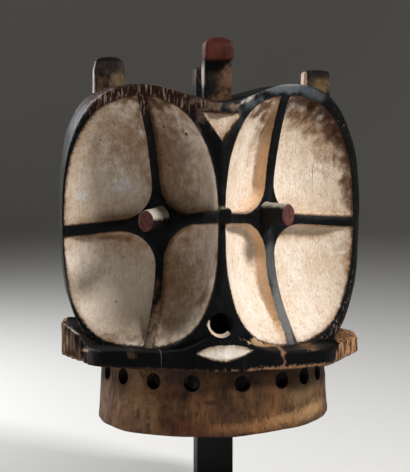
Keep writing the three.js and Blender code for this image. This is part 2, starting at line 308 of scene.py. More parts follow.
@dataclass(frozen=True)
class EyeField:
    """The carving of one eye as fields over its plane."""
    sizes: EyeSizes
    shape: EyeShape

    def measure(self, u: Array, z: Array) -> Array:
        """How far out a place is in the eye.

        Args:
            u: Distance from the nose.
            z: Height.

        Returns:
            0 at the middle, 1 on the outline.
        """
        s = self.sizes
        up, out = z > s.z, u > s.u
        a, b, c, d = self.shape.powers
        power = np.where(up, np.where(out, b, a), np.where(out, d, c))
        tall = np.where(up, s.top, s.bottom)
        across = np.abs((u - s.u) / s.half) ** power
        return (across + np.abs((z - s.z) / tall) ** power) ** (1.0 / power)

    def edge(self, u: Array, z: Array) -> Array:
        """Distance from the eye's outline.

        Args:
            u: Distance from the nose.
            z: Height.

        Returns:
            Millimetres, positive inside.
        """
        r = self.measure(u, z)
        e = 0.5
        gu = (self.measure(u + e, z) - self.measure(u - e, z)) / (2 * e)
        gz = (self.measure(u, z + e) - self.measure(u, z - e)) / (2 * e)
        return (1.0 - r) / np.maximum(np.hypot(gu, gz), 1e-3)

    def bar_u(self, z: Array) -> Array:
        """Middle of the upright bar, a smooth line through its five stations.

        Args:
            z: Height.

        Returns:
            Distance from the nose.
        """
        s, up = self.sizes, np.array(self.shape.up)
        at = np.clip(2 + 2 * (z - s.z) / np.where(z > s.z, s.top, s.bottom), 0, 3.999)
        i = np.floor(at).astype(int)
        t = at - i
        a, b, c, d = (up[np.clip(i + step, 0, 4)] for step in (-1, 0, 1, 2))
        return b + 0.5 * t * (c - a + t * (2 * a - 5 * b + 4 * c - d + t * (3 * (b - c) + d - a)))

    def bar_z(self, u: Array) -> Array:
        """Middle of the level bar."""
        s, b = self.sizes, self.shape
        return b.nose_z + (b.rim_z - b.nose_z) * (u - s.u + s.half) / (2 * s.half)

    def across(self, u: Array, z: Array) -> tuple:
        """How far a place lies off the crossed bars.

        Args:
            u: Distance from the nose.
            z: Height.

        Returns:
            Distances beyond the upright and beyond the level bar.
        """
        s, b = self.sizes, self.shape
        a = np.abs(u - self.bar_u(z)) - b.half_up
        c = np.abs(z - self.bar_z(u)) - b.half_across - s.flare * ((u - s.u) / s.half) ** 4
        return a, c

    def panel(self, u: Array, z: Array) -> Array:
        """Distance inside the nearest painted panel.

        Args:
            u: Distance from the nose.
            z: Height.

        Returns:
            Millimetres, negative on bars and rim.
        """
        b = self.shape
        a, c = self.across(u, z)
        up = z > self.bar_z(u)
        turn_u = np.where(up, b.turn_top[0], b.turn_low[0])
        turn_z = np.where(up, b.turn_top[1], b.turn_low[1])
        q = np.hypot(np.clip(1 - a / turn_u, 0, None), np.clip(1 - c / turn_z, 0, None))
        turned = (1 - q) * np.minimum(turn_u, turn_z)
        inner = np.where((a < turn_u) & (c < turn_z), turned, np.minimum(a, c))
        return np.minimum(inner, self.edge(u, z))

    def depth(self, u: Array, z: Array, panel: Array) -> Array:
        """Depth of the carving below the eye's plane.

        Args:
            u: Distance from the nose.
            z: Height.
            panel: Distance inside the nearest panel.

        Returns:
            Millimetres.
        """
        s = self.sizes
        r = np.minimum(self.measure(u, z), 1.0)
        bar = s.bar_depth * (1 - r * r)
        floor = s.floor_depth * (1 - r ** 3)
        k = np.clip(panel / (s.ease * s.wall), 0.0, 1.0)
        soft = s.soft * (1 - np.clip(-panel, 0.0, 4.0) / 4.0) ** 2 * (1 - k)
        return bar + soft + (floor - bar) * (1 - (1 - k) ** s.round)


@dataclass(frozen=True)
class EyePair:
    """Both eyes of one face."""
    left: EyeField
    right: EyeField

    def pick(self, field: str, s: Array, u: Array, *rest: Array) -> Array:
        """A field of whichever eye each place is on.

        Args:
            field: Name of an EyeField method.
            s: Place on the unrolled face, negative on the left.
            u: Distance from the nose.
            rest: What else the method takes.

        Returns:
            Its values.
        """
        left, right = (getattr(eye, field)(u, *rest) for eye in (self.left, self.right))
        return np.where(s < 0, left, right)


FRAME = FaceFrame()
NEAR_EYES = EyePair(EyeField(EYE, SHAPE_LEFT), EyeField(EYE, SHAPE_RIGHT))
FAR_EYES = EyePair(EyeField(EYE, SHAPE_FAR), EyeField(EYE, SHAPE_FAR))


def triangle_field(x: Array, z: Array) -> Array:
    """Distance from the edge of the forehead triangle.

    Args:
        x: Place across.
        z: Height.

    Returns:
        Millimetres, positive inside.
    """
    corners = np.array(TRIANGLE)
    best = np.full(np.shape(x), 1e3)
    middle = corners.mean(axis=0)
    for i in range(3):
        a, b = corners[i], corners[(i + 1) % 3]
        n = np.array([-(b - a)[1], (b - a)[0]])
        n = n / np.linalg.norm(n)
        n = n if (middle - a) @ n > 0 else -n
        best = np.minimum(best, (x - a[0]) * n[0] + (z - a[1]) * n[1])
    return best


def lens_field(x: Array, z: Array) -> Array:
    """Distance from the edge of the pointed lens on the chin.

    Args:
        x: Place across.
        z: Height.

    Returns:
        Rough millimetres, positive inside.
    """
    cx, cz, wide, tall, _, turn = LENS
    c, s = math.cos(math.radians(turn)), math.sin(math.radians(turn))
    a = (x - cx) * c + (z - cz) * s
    b = -(x - cx) * s + (z - cz) * c
    return (1 - np.abs(a / (wide / 2)) ** 1.7 - np.abs(b / (tall / 2))) * tall / 2


def flange_front(x: Array) -> Array:
    """Where the flange's front stands.

    Args:
        x: Place across.

    Returns:
        How far it stands out.
    """
    f = FLANGE
    right = x > f.chin[0]
    sx = np.where(right, f.shoulder_right[0], f.shoulder_left[0])
    sy = np.where(right, f.shoulder_right[1], f.shoulder_left[1])
    t = (x - f.chin[0]) / (sx - f.chin[0])
    return f.chin[1] + (sy - f.chin[1]) * t + 20 * t * (1 - t)


# Outline of the helmet

class Outline:
    """The rim of a face and the middle of the band, station by station."""

    def __init__(self, count: int = 1400) -> None:
        """Lay out the stations, from the dip round one lobe and back by the other.

        Args:
            count: How many stations.
        """
        t = np.linspace(0, 1, count, endpoint=False)
        top, turn, low = 0.16, 0.72, 0.12  # shares of the saddle, the lobe's arc and the chin
        half = np.where(t < 0.5, t * 2, (1 - t) * 2)
        side = np.where(t < 0.5, 1.0, -1.0)
        lobe = np.where(half < top, half / top, np.where(half < top + turn, 1.0, (1 - half) / low))
        turning = math.pi / 2 - (half - top) / turn * math.pi
        angle = np.where(half < top, math.pi / 2, np.where(half < top + turn, turning, -math.pi / 2))
        self.side, self.lobe, self.angle = side, np.clip(lobe, 0, 1), angle
        self.front = self.curve(HEAD.face, 0.0)
        self.middle = self.curve(HEAD.crown, 0.0)

    def curve(self, c: CurveSizes, inset: float) -> Array:
        """Stations of one outline.

        Args:
            c: The outline.
            inset: How far it is drawn in.

        Returns:
            N by 2 places in the unrolled face.
        """
        up, right = self.angle > 0, self.side > 0
        power = np.where(up, np.where(right, c.top_right, c.top_left),
                         np.where(right, c.bottom_right, c.bottom_left))
        tall = np.where(up, HEAD.top, HEAD.bottom) - inset
        reach = np.where(right, c.right, c.left) - inset
        cos, sin = np.round(np.cos(self.angle), 12), np.sin(self.angle)
        across = (c.mid + reach * signed_power(cos, 2 / power)) * self.lobe
        z = HEAD.lobe_z + tall * signed_power(sin, 2 / power)
        saddle = c.dip - inset + (HEAD.lobe_z + tall - c.dip + inset) * smooth(self.lobe * 1.03)
        z = np.where(up & (self.lobe < 1), saddle, z)
        return np.stack([self.side * across, z], axis=-1)

    def nearest(self, points: Array) -> tuple:
        """Closest place on the front rim.

        Args:
            points: N by 2 places in the unrolled face.

        Returns:
            The places on the rim, the middle-of-band places that match them, signed
            distances (positive inside) and the station as a number.
        """
        a = self.front
        b = np.roll(a, -1, axis=0)
        ab = b - a
        length = np.maximum((ab ** 2).sum(1), 1e-9)
        mid_a, mid_b = self.middle, np.roll(self.middle, -1, axis=0)
        place, middle, signed, station = [], [], [], []
        for chunk in np.array_split(points, max(1, len(points) // 2000)):
            rel = chunk[:, None, :] - a[None]
            t = np.clip((rel * ab[None]).sum(2) / length[None], 0, 1)
            gap = rel - t[..., None] * ab[None]
            d2 = (gap ** 2).sum(2)
            k = d2.argmin(1)
            row = np.arange(len(chunk))
            tk = t[row, k][:, None]
            place.append(a[k] + tk * ab[k])
            middle.append(mid_a[k] + tk * (mid_b[k] - mid_a[k]))
            crosses = (a[None, :, 1] > chunk[:, 1:2]) != (b[None, :, 1] > chunk[:, 1:2])
            dz = np.where(np.abs(ab[:, 1]) < 1e-12, 1e-12, ab[:, 1])
            at = a[None, :, 0] + (chunk[:, 1:2] - a[None, :, 1]) * (ab[:, 0] / dz)[None]
            inside = (crosses & (chunk[:, 0:1] < at)).sum(1) % 2 == 1
            signed.append(np.sqrt(d2[row, k]) * np.where(inside, 1, -1))
            station.append(k + tk[:, 0])
        return np.concatenate(place), np.concatenate(middle), np.concatenate(signed), np.concatenate(station)


OUTLINE = Outline()


# Mesh parts

def select_only(obj: Object) -> None:
    """Make one object the only one selected, and the active one."""
    bpy.ops.object.select_all(action="DESELECT")
    bpy.context.view_layer.objects.active = obj
    obj.select_set(True)


def points_of(mesh: bpy.types.Mesh) -> Array:
    """A mesh's points in millimetres, N by 3."""
    co = np.empty(len(mesh.vertices) * 3)
    mesh.vertices.foreach_get("co", co)
    return co.reshape(-1, 3) / MM


def soft_block(name: str, size: Sequence[float], middle: Sequence[float], soft: float,
               cuts: int = 0) -> Object:
    """A block with rounded edges.

    Args:
        name: Its name.
        size: Its three sizes, in metres.
        middle: Its middle, in metres.
        soft: Width of the rounded edges, in millimetres.
        cuts: How often each edge is then cut, so that the surface can be worn.

    Returns:
        The block.
    """
    bpy.ops.object.select_all(action="DESELECT")
    bpy.ops.mesh.primitive_cube_add(size=1.0)
    obj = bpy.context.active_object
    obj.name = name
    bpy.ops.transform.resize(value=tuple(size))
    bpy.ops.transform.translate(value=tuple(middle))
    bpy.ops.object.transform_apply(location=True, rotation=True, scale=True)
    bpy.ops.object.mode_set(mode="EDIT")
    bpy.ops.mesh.select_all(action="SELECT")
    bpy.ops.mesh.bevel(offset=soft * MM, segments=3)
    if cuts:
        bpy.ops.mesh.select_all(action="SELECT")
        bpy.ops.mesh.quads_convert_to_tris()
        bpy.ops.mesh.subdivide(number_cuts=cuts)
    bpy.ops.object.mode_set(mode="OBJECT")
    return obj


class Part:
    """Points and faces of one closed form, in millimetres, with a slot for each face."""

    def __init__(self, points: Array, faces: list, slot: int) -> None:
        """Give every face one finish.

        Args:
            points: N by 3 places.
            faces: Tuples of point numbers.
            slot: The finish.
        """
        self.points = np.asarray(points, float)
        self.faces = faces
        self.slots = [int(slot)] * len(faces)

    @classmethod
    def from_loops(cls, loops: Sequence[Array], slot: int, ring: bool = False) -> "Part":
        """Skin loops of equal length.

        Args:
            loops: The loops, in order.
            slot: The finish.
            ring: Join the last loop to the first, not close both ends.

        Returns:
            The closed form, facing outwards.
        """
        n = len(loops[0])
        points = [tuple(p) for loop in loops for p in loop]
        rows = len(loops)
        faces = []
        for j in range(rows if ring else rows - 1):
            base, up = j * n, ((j + 1) % rows) * n
            faces += [(base + i, base + (i + 1) % n, up + (i + 1) % n, up + i) for i in range(n)]
        if not ring:
            for row, flip in ((0, True), (rows - 1, False)):
                hub = len(points)
                points.append(tuple(np.mean(loops[row], axis=0)))
                for i in range(n):
                    a, b = row * n + i, row * n + (i + 1) % n
                    faces.append((hub, b, a) if flip else (hub, a, b))
        part = cls(np.array(points), faces, slot)
        if part.volume() < 0:
            part.faces = [tuple(reversed(f)) for f in part.faces]
        return part

    def volume(self) -> float:
        """Signed volume, to tell which way the faces point."""
        total = 0.0
        p = self.points
        for f in self.faces:
            for i in range(1, len(f) - 1):
                total += float(np.dot(p[f[0]], np.cross(p[f[i]], p[f[i + 1]])))
        return total / 6

    def moved(self, change: Callable[[Array], Array]) -> "Part":
        """A copy with its points changed."""
        copy = Part(change(self.points), list(self.faces), 0)
        copy.slots = list(self.slots)
        return copy


@dataclass(frozen=True)
class PieceBench:
    """Makes objects from parts and joins or cuts them."""
    materials: list  # in the order of Slot

    def object(self, name: str, parts: Iterable[Part]) -> Object:
        """Write some parts into one object.

        Args:
            name: Its name.
            parts: What it holds, in millimetres.

        Returns:
            The object, in metres.
        """
        points, faces, slots = [], [], []
        for part in parts:
            base = sum(len(p) for p in points)
            points.append(part.points)
            faces += [tuple(i + base for i in f) for f in part.faces]
            slots += part.slots
        mesh = bpy.data.meshes.new(name)
        mesh.from_pydata((np.concatenate(points) * MM).tolist(), [], faces)
        for material in self.materials:
            mesh.materials.append(material)
        mesh.polygons.foreach_set("material_index", np.array(slots, dtype=np.int32))
        mesh.update()
        obj = bpy.data.objects.new(name, mesh)
        bpy.context.scene.collection.objects.link(obj)
        return obj

    @staticmethod
    def boolean(target: Object, tool: Object, operation: str) -> None:
        """Apply one boolean and delete the tool.

        Args:
            target: What is changed.
            tool: What joins or cuts it.
            operation: UNION or DIFFERENCE.
        """
        select_only(target)
        mod = target.modifiers.new(operation.lower(), "BOOLEAN")
        mod.operation = operation
        mod.solver = "MANIFOLD"
        mod.object = tool
        before = len(target.data.polygons)
        bpy.ops.object.modifier_apply(modifier=mod.name)
        LOG.info("%s %s: %d faces to %d", operation.lower(), tool.name, before, len(target.data.polygons))
        bpy.data.objects.remove(tool, do_unlink=True)


@dataclass(frozen=True)
class Skin:
    """The helmet's outer skin: two carved faces and the band between them."""

    GRID_FROM = (-201, 180)  # lowest corner of the unrolled face
    GRID_SIZE = (404, 304)
    SNAP_ROUNDS = 4
    WANDER = 0.9  # how far a bar strays from its drawn line
    step: float = GRID
    rows: int = BAND_ROWS

    def _grid(self) -> tuple:
        """Even triangles over a rectangle that holds the whole face.

        Returns:
            Places, N by 2, and triangles.
        """
        h = self.step
        v = h * math.sqrt(3) / 2
        cols, rows = int(self.GRID_SIZE[0] / h), int(self.GRID_SIZE[1] / v)
        left, foot = self.GRID_FROM
        j, i = np.meshgrid(np.arange(rows), np.arange(cols), indexing="ij")
        points = np.stack([left + h * (i + 0.5 * (j % 2)), foot + v * j], axis=-1).reshape(-1, 2)
        k = (j * cols + i)[:-1, :-1]
        odd = (j % 2)[:-1, :-1] == 1
        up, right, diag = k + cols, k + 1, k + cols + 1
        one = np.where(odd[..., None], np.stack([k, right, diag], -1), np.stack([k, right, up], -1))
        two = np.where(odd[..., None], np.stack([k, diag, up], -1), np.stack([right, diag, up], -1))
        return points, np.concatenate([one.reshape(-1, 3), two.reshape(-1, 3)])

    @staticmethod
    def _slope(points: Array, field: Callable) -> tuple:
        """Value and gradient of a field.

        Args:
            points: Places on the unrolled face.
            field: Gives a value for each place.

        Returns:
            The values, and the gradients, N by 2.
        """
        e = 0.05
        gx = (field(points + (e, 0)) - field(points - (e, 0))) / (2 * e)
        gz = (field(points + (0, e)) - field(points - (0, e))) / (2 * e)
        return field(points), np.stack([gx, gz], -1)

    def _snap(self, points: Array, edges: Array, field: Callable, free: Array) -> None:
        """Move points onto a field's zero line until no edge of the grid crosses it.

        Args:
            points: Places on the unrolled face, changed in place.
            edges: Pairs of neighbouring points.
            field: Signed distance from the line.
            free: Which points may still move, changed in place.
        """
        a, b = edges.T
        for _ in range(self.SNAP_ROUNDS):
            f, slope = self._slope(points, field)
            away = f / np.maximum(np.hypot(*slope.T), 0.2)
            sign = np.where(np.abs(away) < 0.08, 0, np.sign(away))
            cost = np.where(free, np.abs(away), 1e3)
            pick = np.unique(np.where(cost[a] <= cost[b], a, b)[sign[a] * sign[b] < 0])
            pick = pick[cost[pick] < 0.8 * self.step]
            if not len(pick):
                break
            for _ in range(2):
                f, slope = self._slope(points[pick], field)
                points[pick] -= (f / np.maximum((slope ** 2).sum(1), 0.04))[:, None] * slope
            free[pick] = False

    @staticmethod
    def panels(points: Array, eyes: EyePair) -> Array:
        """Distance inside the nearest panel, with a hand's slight wander.

        Args:
            points: Places on the unrolled face.
            eyes: Carving of the face's eyes.

        Returns:
            Millimetres, negative on bars and rim.
        """
        s, z = points[:, 0], points[:, 1]
        flat = np.stack([s, z, np.zeros_like(s)], -1)
        du = Skin.WANDER * grain(flat, 38.0, 1, 3.1)
        dz = Skin.WANDER * grain(flat, 34.0, 1, 9.7)
        return eyes.pick("panel", s, np.abs(s) + du, z + dz)

    def build(self) -> Part:
        """The closed skin as one part."""
        points, tris = self._grid()
        place, _, signed, _ = OUTLINE.nearest(points)
        on_rim = np.abs(signed) < 0.5 * self.step
        points[on_rim] = place[on_rim]
        keep = (signed > 0) | on_rim
        tris = tris[keep[tris].all(axis=1)]
        tris = tris[~on_rim[tris].all(axis=1)]
        used = np.unique(tris)
        renumber = -np.ones(len(points), int)
        renumber[used] = np.arange(len(used))
        inner = (signed > 2.2 * self.step)[used]
        points, tris = points[used], renumber[tris]
        near = self._fitted(points, tris, inner, NEAR_EYES, triangle_field)
        far = self._fitted(points * (-1, 1), tris, inner, FAR_EYES, None)
        return self._close(near, far, tris, self._rim(tris))

    def _fitted(self, points: Array, tris: Array, inner: Array, eyes: EyePair,
                brow: "Callable | None") -> Array:
        """The grid with its edges laid along one face's carved lines.

        Args:
            points: The even grid.
            tris: Its triangles.
            inner: Which points are far enough from the rim to move.
            eyes: Carving of the face's eyes.
            brow: Field of a forehead hollow, if the face has one.

        Returns:
            The moved points.
        """
        pairs = np.concatenate([tris[:, [0, 1]], tris[:, [1, 2]], tris[:, [2, 0]]])
        edges = np.unique(np.sort(pairs, axis=1), axis=0)
        fields = [
            lambda p: self.panels(p, eyes),
            lambda p: eyes.pick("edge", p[:, 0], np.abs(p[:, 0]), p[:, 1]),
            lambda p: self.panels(p, eyes) - EYE.wall]
        if brow:
            fields.append(lambda p: brow(FRAME.nose_x + p[:, 0] * FRAME.cos, p[:, 1]))
        moved, free = points.copy(), inner.copy()
        for field in fields:
            self._snap(moved, edges, field, free)
        LOG.info("face grid: %d points, %d triangles", len(moved), len(tris))
        return moved

    @staticmethod
    def _rim(tris: Array) -> list:
        """Follow the open edge of a face.

        Args:
            tris: Its triangles.

        Returns:
            Point numbers in order round the edge.
        """
        edges = {(int(t[i]), int(t[(i + 1) % 3])): True for t in tris for i in range(3)}
        follow = {}
        for a, b in edges:
            if (b, a) not in edges:
                follow.setdefault(a, b)
        start = next(iter(follow))
        loop = [start]
        while follow[loop[-1]] != start:
            loop.append(follow[loop[-1]])
        LOG.info("rim loop: %d of %d rim points", len(loop), len(follow))
        return loop

    def surface(self, points: Array, eyes: EyePair, near: bool) -> Array:
        """Carve one face.

        Args:
            points: Places on the unrolled face.
            eyes: Carving of the face's eyes.
            near: Whether it is the photographed face.

        Returns:
            N by 3 places in space.
        """
        s, z = points[:, 0], points[:, 1]
        side, u = np.where(s < 0, -1.0, 1.0), np.abs(s)
        depth = eyes.pick("depth", s, u, z, self.panels(points, eyes))
        flat = np.stack([s, z, np.full_like(s, 0.0 if near else 500.0)], -1)
        _, _, signed, _ = OUTLINE.nearest(points)
        hold = smooth((signed - 1.0) / 8.0)
        depth = depth + hold * (0.7 * grain(flat, 46.0, 2, 1.3) + 0.25 * grain(flat, 11.0, 2, 5.9))
        depth = depth + 0.9 * np.clip(1 - signed / 3.0, 0, 1) ** 2
        out = FRAME.to_space(side, u, z, depth)
        ridge = RIDGE
        blunt = ridge.blunt + ridge.chin * smooth((ridge.chin_z - z) / ridge.chin_over)
        blunt = blunt + ridge.brow * smooth((z - ridge.brow_z) / ridge.brow_over)
        out[:, 1] += FRAME.sin * (np.sqrt(u * u + blunt * blunt) - u) * np.clip(1.2 - u / ridge.reach, 0, 1)
        if near:
            inside = triangle_field(out[:, 0], z)
            floor = TRIANGLE_FLOOR + 0.5 * grain(flat, 9.0, 2, 2.2)
            out[:, 1] += np.maximum(floor - out[:, 1], 0) * np.clip(inside / 1.6, 0, 1)
        return out

    def _close(self, near_grid: Array, far_grid: Array, tris: Array, rim: list) -> Part:
        """Carve both faces and join them by the band.

        Args:
            near_grid: Places of the near face, unrolled.
            far_grid: Places of the far face, unrolled.
            tris: Triangles of either face.
            rim: Point numbers round the edge.

        Returns:
            The closed skin.
        """
        n = len(near_grid)
        near = self.surface(near_grid, NEAR_EYES, True)
        far = FRAME.far(self.surface(far_grid, FAR_EYES, False))
        _, middle, _, _ = OUTLINE.nearest(near_grid[rim])
        start, end = near[rim], far[rim]
        mid_x = FRAME.middle_x + middle[:, 0]
        rows = []
        for t in -np.cos(np.linspace(0, math.pi, self.rows + 2))[1:-1]:
            k = (t + 1) / 2
            swell = (1 - t * t) ** HEAD.swell
            row = start + (end - start) * k
            edge_x = start[:, 0] if t < 0 else end[:, 0]
            row[:, 0] = edge_x + (mid_x - edge_x) * swell
            row[:, 2] = start[:, 2] + (middle[:, 1] - start[:, 2]) * swell
            away = row - (FRAME.middle_x, 0, HEAD.lobe_z)
            away[:, 1] = 0
            away /= np.linalg.norm(away, axis=1)[:, None]
            lift = 0.9 * grain(row, 40.0, 2, 7.7) + 0.35 * grain(row * (1, 2.2, 1), 13.0, 2, 4.4) - 0.6
            rows.append(row + away * (lift * min(1.0, 4 * (1 - abs(t))))[:, None])
        m = len(rim)
        all_points = np.concatenate([near, far, *rows])
        faces = [tuple(map(int, t)) for t in tris] + [tuple(int(v) + n for v in t[::-1]) for t in tris]
        slots = [int(Slot.FACE)] * len(faces)
        ids = [np.array(rim)] + [2 * n + r * m + np.arange(m) for r in range(len(rows))] + [np.array(rim) + n]
        for r in range(len(ids) - 1):
            lower, upper = ids[r], ids[r + 1]
            for i in range(m):
                j = (i + 1) % m
                faces.append((int(lower[j]), int(lower[i]), int(upper[i]), int(upper[j])))
        part = Part(all_points, faces, Slot.BAND)
        part.slots[:len(slots)] = slots
        return part


class Forms:
    """The smaller closed forms that join the skin or are cut from it."""

    @staticmethod
    def bowl(side: float, depth_of: Callable, grow: float, lid: float, rings: int = 8,
             around: int = 48) -> Part:
        """A closed bowl over one eye, used to keep the hollow clear of the dishes.

        Args:
            side: -1 for the left eye, 1 for the right.
            depth_of: Depth at a share of the way out from the eye's middle.
            grow: How far it reaches past the eye's outline.
            lid: How far its lid stands in front of the face.
            rings: Rings of points between rim and middle.
            around: Points in a ring.

        Returns:
            The bowl.
        """
        t = turns(around)
        cos, sin = np.round(np.cos(t), 12), np.round(np.sin(t), 12)
        a, b, c, d = SHAPE_FAR.powers
        power = np.where(sin > 0, np.where(cos > 0, b, a), np.where(cos > 0, d, c))
        u = (EYE.half + grow) * signed_power(cos, 2 / power)
        z = (np.where(sin > 0, EYE.top, EYE.bottom) + grow) * signed_power(sin, 2 / power)
        steps = [(1.0, -lid)] + [(math.cos(j / (rings + 1) * math.pi / 2),) * 2 for j in range(rings + 1)]
        loops = []
        for index, (r, value) in enumerate(steps):
            depth = value if index == 0 else depth_of(r)
            loops.append(FRAME.to_space(side, EYE.u + u * r, EYE.z + z * r, np.full_like(u, depth)))
        return Part.from_loops(loops, Slot.INSIDE)

    @staticmethod
    def inner_head() -> Part:
        """The helmet's outline drawn in by the wall."""
        line = Outline(160)
        wall = HEAD.wall
        front = line.curve(HEAD.face, wall)
        middle = line.curve(HEAD.crown, wall)
        side = np.where(front[:, 0] < 0, -1.0, 1.0)
        rim = FRAME.to_space(side, np.abs(front[:, 0]), front[:, 1], wall)
        other = FRAME.to_space(-side, np.abs(front[:, 0]), front[:, 1], wall)
        loops = []
        for t in np.linspace(-1, 1, 9):
            swell = (1 - t * t) ** HEAD.swell
            edge = rim[:, 0] if t < 0 else 2 * FRAME.middle_x - other[:, 0]
            x = edge + (FRAME.middle_x + middle[:, 0] - edge) * swell
            z = front[:, 1] + (middle[:, 1] - front[:, 1]) * swell
            loops.append(np.stack([x, -t * rim[:, 1], z], -1))
        keep = np.arange(len(front))
        keep = keep[np.concatenate([[True], np.linalg.norm(np.diff(front, axis=0), axis=1) > 0.05])]
        return Part.from_loops([l[keep] for l in loops], Slot.INSIDE)

    @staticmethod
    def tube(axis_to: Callable, radii: Sequence[tuple], around: int, slot: int) -> Part:
        """Round plug.

        Args:
            axis_to: Takes places of a plug along Y to where it goes.
            radii: Stations of (distance, radius).
            around: Points in a ring.
            slot: The finish.

        Returns:
            The plug.
        """
        t = turns(around)
        loops = [axis_to(np.stack([r * np.cos(t), np.full_like(t, d), r * np.sin(t)], -1))
                 for d, r in radii]
        return Part.from_loops(loops, slot)

    @staticmethod
    def peg(side: float, place: PegSizes) -> Part:
        """An oval eye peg with a knife-cut end.

        Args:
            side: -1 for the left eye, 1 for the right.
            place: Its place and sizes.

        Returns:
            The peg.
        """
        t = turns(40)
        loops = []
        tip = EYE.bar_depth - place.length
        stations = [(EYE.floor_depth + 3, -2.0), (EYE.bar_depth, -0.8)]
        stations += [(EYE.bar_depth + (tip - EYE.bar_depth) * k, 0.5 * k) for k in np.linspace(0.1, 0.96, 12)]
        stations += [(tip + 0.5, 0.65), (tip + 0.1, 1.1), (tip, 1.7), (tip - 0.2, 3.2), (tip - 0.1, 5.5)]
        for depth, grow in stations:
            along = (EYE.bar_depth - depth) / place.length
            flat = 0.9 * np.cos(6 * t + side) + 0.5 * np.cos(3 * t + 0.7)
            u = place.u + (place.wide / 2 - grow - 0.25 * flat) * np.cos(t)
            z = place.z + (place.tall / 2 - grow - 0.25 * flat) * np.sin(t) - place.droop * along
            ring = FRAME.to_space(side, u, z, np.full_like(t, depth))
            ring[:, 2] += 0.35 * grain(ring, 8.0, 2, 4.2)
            loops.append(ring)
        part = Part.from_loops(loops, Slot.PEG)
        shaft = (len(stations) - 5) * len(t)
        part.slots = [int(Slot.PEG) if i < shaft else int(Slot.PEG_END) for i in range(len(part.faces))]
        root = range(len(part.faces) - 2 * len(t), len(part.faces) - len(t))
        for i in root:
            part.slots[i] = int(Slot.PEG)
        return part

    @staticmethod
    def flange_plan() -> Array:
        """The flange's outline from above, bowed on each side and worn round."""
        f = FLANGE

        def bend(a: tuple, b: tuple, swell: float, n: int) -> list:
            """A bowed edge.

            Args:
                a: Its start, as (x, reach).
                b: Its end.
                swell: How far it bows out.
                n: How many points.

            Returns:
                The points, its end left out.
            """
            out = []
            for i in range(n):
                t = i / n
                y = a[1] + (b[1] - a[1]) * t + swell * 4 * t * (1 - t)
                out.append((a[0] + (b[0] - a[0]) * t, -y))
            return out

        bow, end_bow = f.bow, f.end_bow
        front = (bend(f.end_left, f.shoulder_left, end_bow, 40) + bend(f.shoulder_left, f.chin, bow, 70)
                 + bend(f.chin, f.shoulder_right, bow, 60) + bend(f.shoulder_right, f.end_right, end_bow, 46))
        front.append((f.end_right[0], -f.end_right[1]))
        back = [(2 * FRAME.middle_x - x, -y) for x, y in front]
        plan = np.array(front + back)
        plan = np.concatenate([plan, plan[:1]])
        run = np.concatenate([[0], np.cumsum(np.linalg.norm(np.diff(plan, axis=0), axis=1))])
        at = np.linspace(0, run[-1], f.stations + 1)[:-1]
        plan = np.stack([np.interp(at, run, plan[:, i]) for i in (0, 1)], -1)
        inner = (np.abs(plan[:, 0] - FRAME.middle_x) < f.worn_reach)[:, None]
        for turn in range(f.worn_passes):
            eased = (np.roll(plan, 1, 0) + 2 * plan + np.roll(plan, -1, 0)) / 4
            plan = np.where(inner | (turn < f.end_passes), eased, plan)
        return plan

    @staticmethod
    def flange() -> Part:
        """The jaw flange with its worn corners and fibrous ends."""
        f, plan = FLANGE, Forms.flange_plan()
        out = plan - (FRAME.middle_x, 0)
        out = out / np.linalg.norm(out, axis=1)[:, None]
        front_half = plan[:, 1] < 0
        near_x = np.where(front_half, plan[:, 0], 2 * FRAME.middle_x - plan[:, 0])
        chin = np.exp(-((near_x - f.chin[0]) / f.chin_half) ** 2)
        reach = np.abs(plan[:, 0] - FRAME.middle_x)
        end = smooth((FRAME.middle_x - plan[:, 0] - f.rise_from) / f.rise_over)
        top = f.over + f.chin_rise * chin + f.left_rise * end
        fibre = smooth((reach - f.fibre_from) / f.fibre_over)
        # Stations of (distance in from the edge, lift, share of the height), from the underside over.
        rows = [(70, 0.0, 0), (24, 0.0, 0), (8, 0.0, 0), (2.2, 0.0, 0), (0.7, 0.3, 0), (0.1, 1.2, 0)]
        rows += [(0.0, None, k) for k in np.linspace(0.1, 0.9, 9)]
        rows += [(0.2, -1.6, 1), (0.9, -0.5, 1), (2.4, 0.0, 1), (6, 0.2, 1), (12, 0.2, 1), (26, 0.3, 1),
                 (70, 0.3, 1)]
        loops = []
        for inset, lift, k in rows:
            z = f.under + (top - f.under) * k if lift is None else np.where(k, top, f.under) + lift
            z = np.broadcast_to(z, top.shape).copy()
            place = np.concatenate([plan - out * inset, z[:, None]], 1)
            wander = 0.8 * grain(place, 30.0, 2, 6.1) - 0.9
            if not k or k < 0.3:
                chipped = np.minimum(1.5 * grain(place, 9.0, 2, 3.4), 0.3)
                wander = wander + chipped * (lift is None or lift > 0)
            groove = fibre * (f.fibre_deep * grain(place * (1, 1, 0.1), 6.0, 3, 8.8) - 0.9)
            fade = math.exp(-inset / 6)
            lean = f.chin_lean * chin * smooth((z - f.over + 4) / 24) * fade
            place[:, :2] += out * ((wander + groove) * fade - lean)[:, None]
            place[:, 2] += (0.7 * grain(place, 24.0, 2, 2.9)) * (1 if inset < 60 else 0)
            loops.append(place)
        return Part.from_loops(loops, Slot.JAW)

    @staticmethod
    def collar() -> Part:
        """The bored collar, its lower edge uneven and tilted."""
        c = COLLAR
        t = turns(c.around)
        ring = np.stack([np.sin(t), -np.cos(t)], -1)
        loops = []
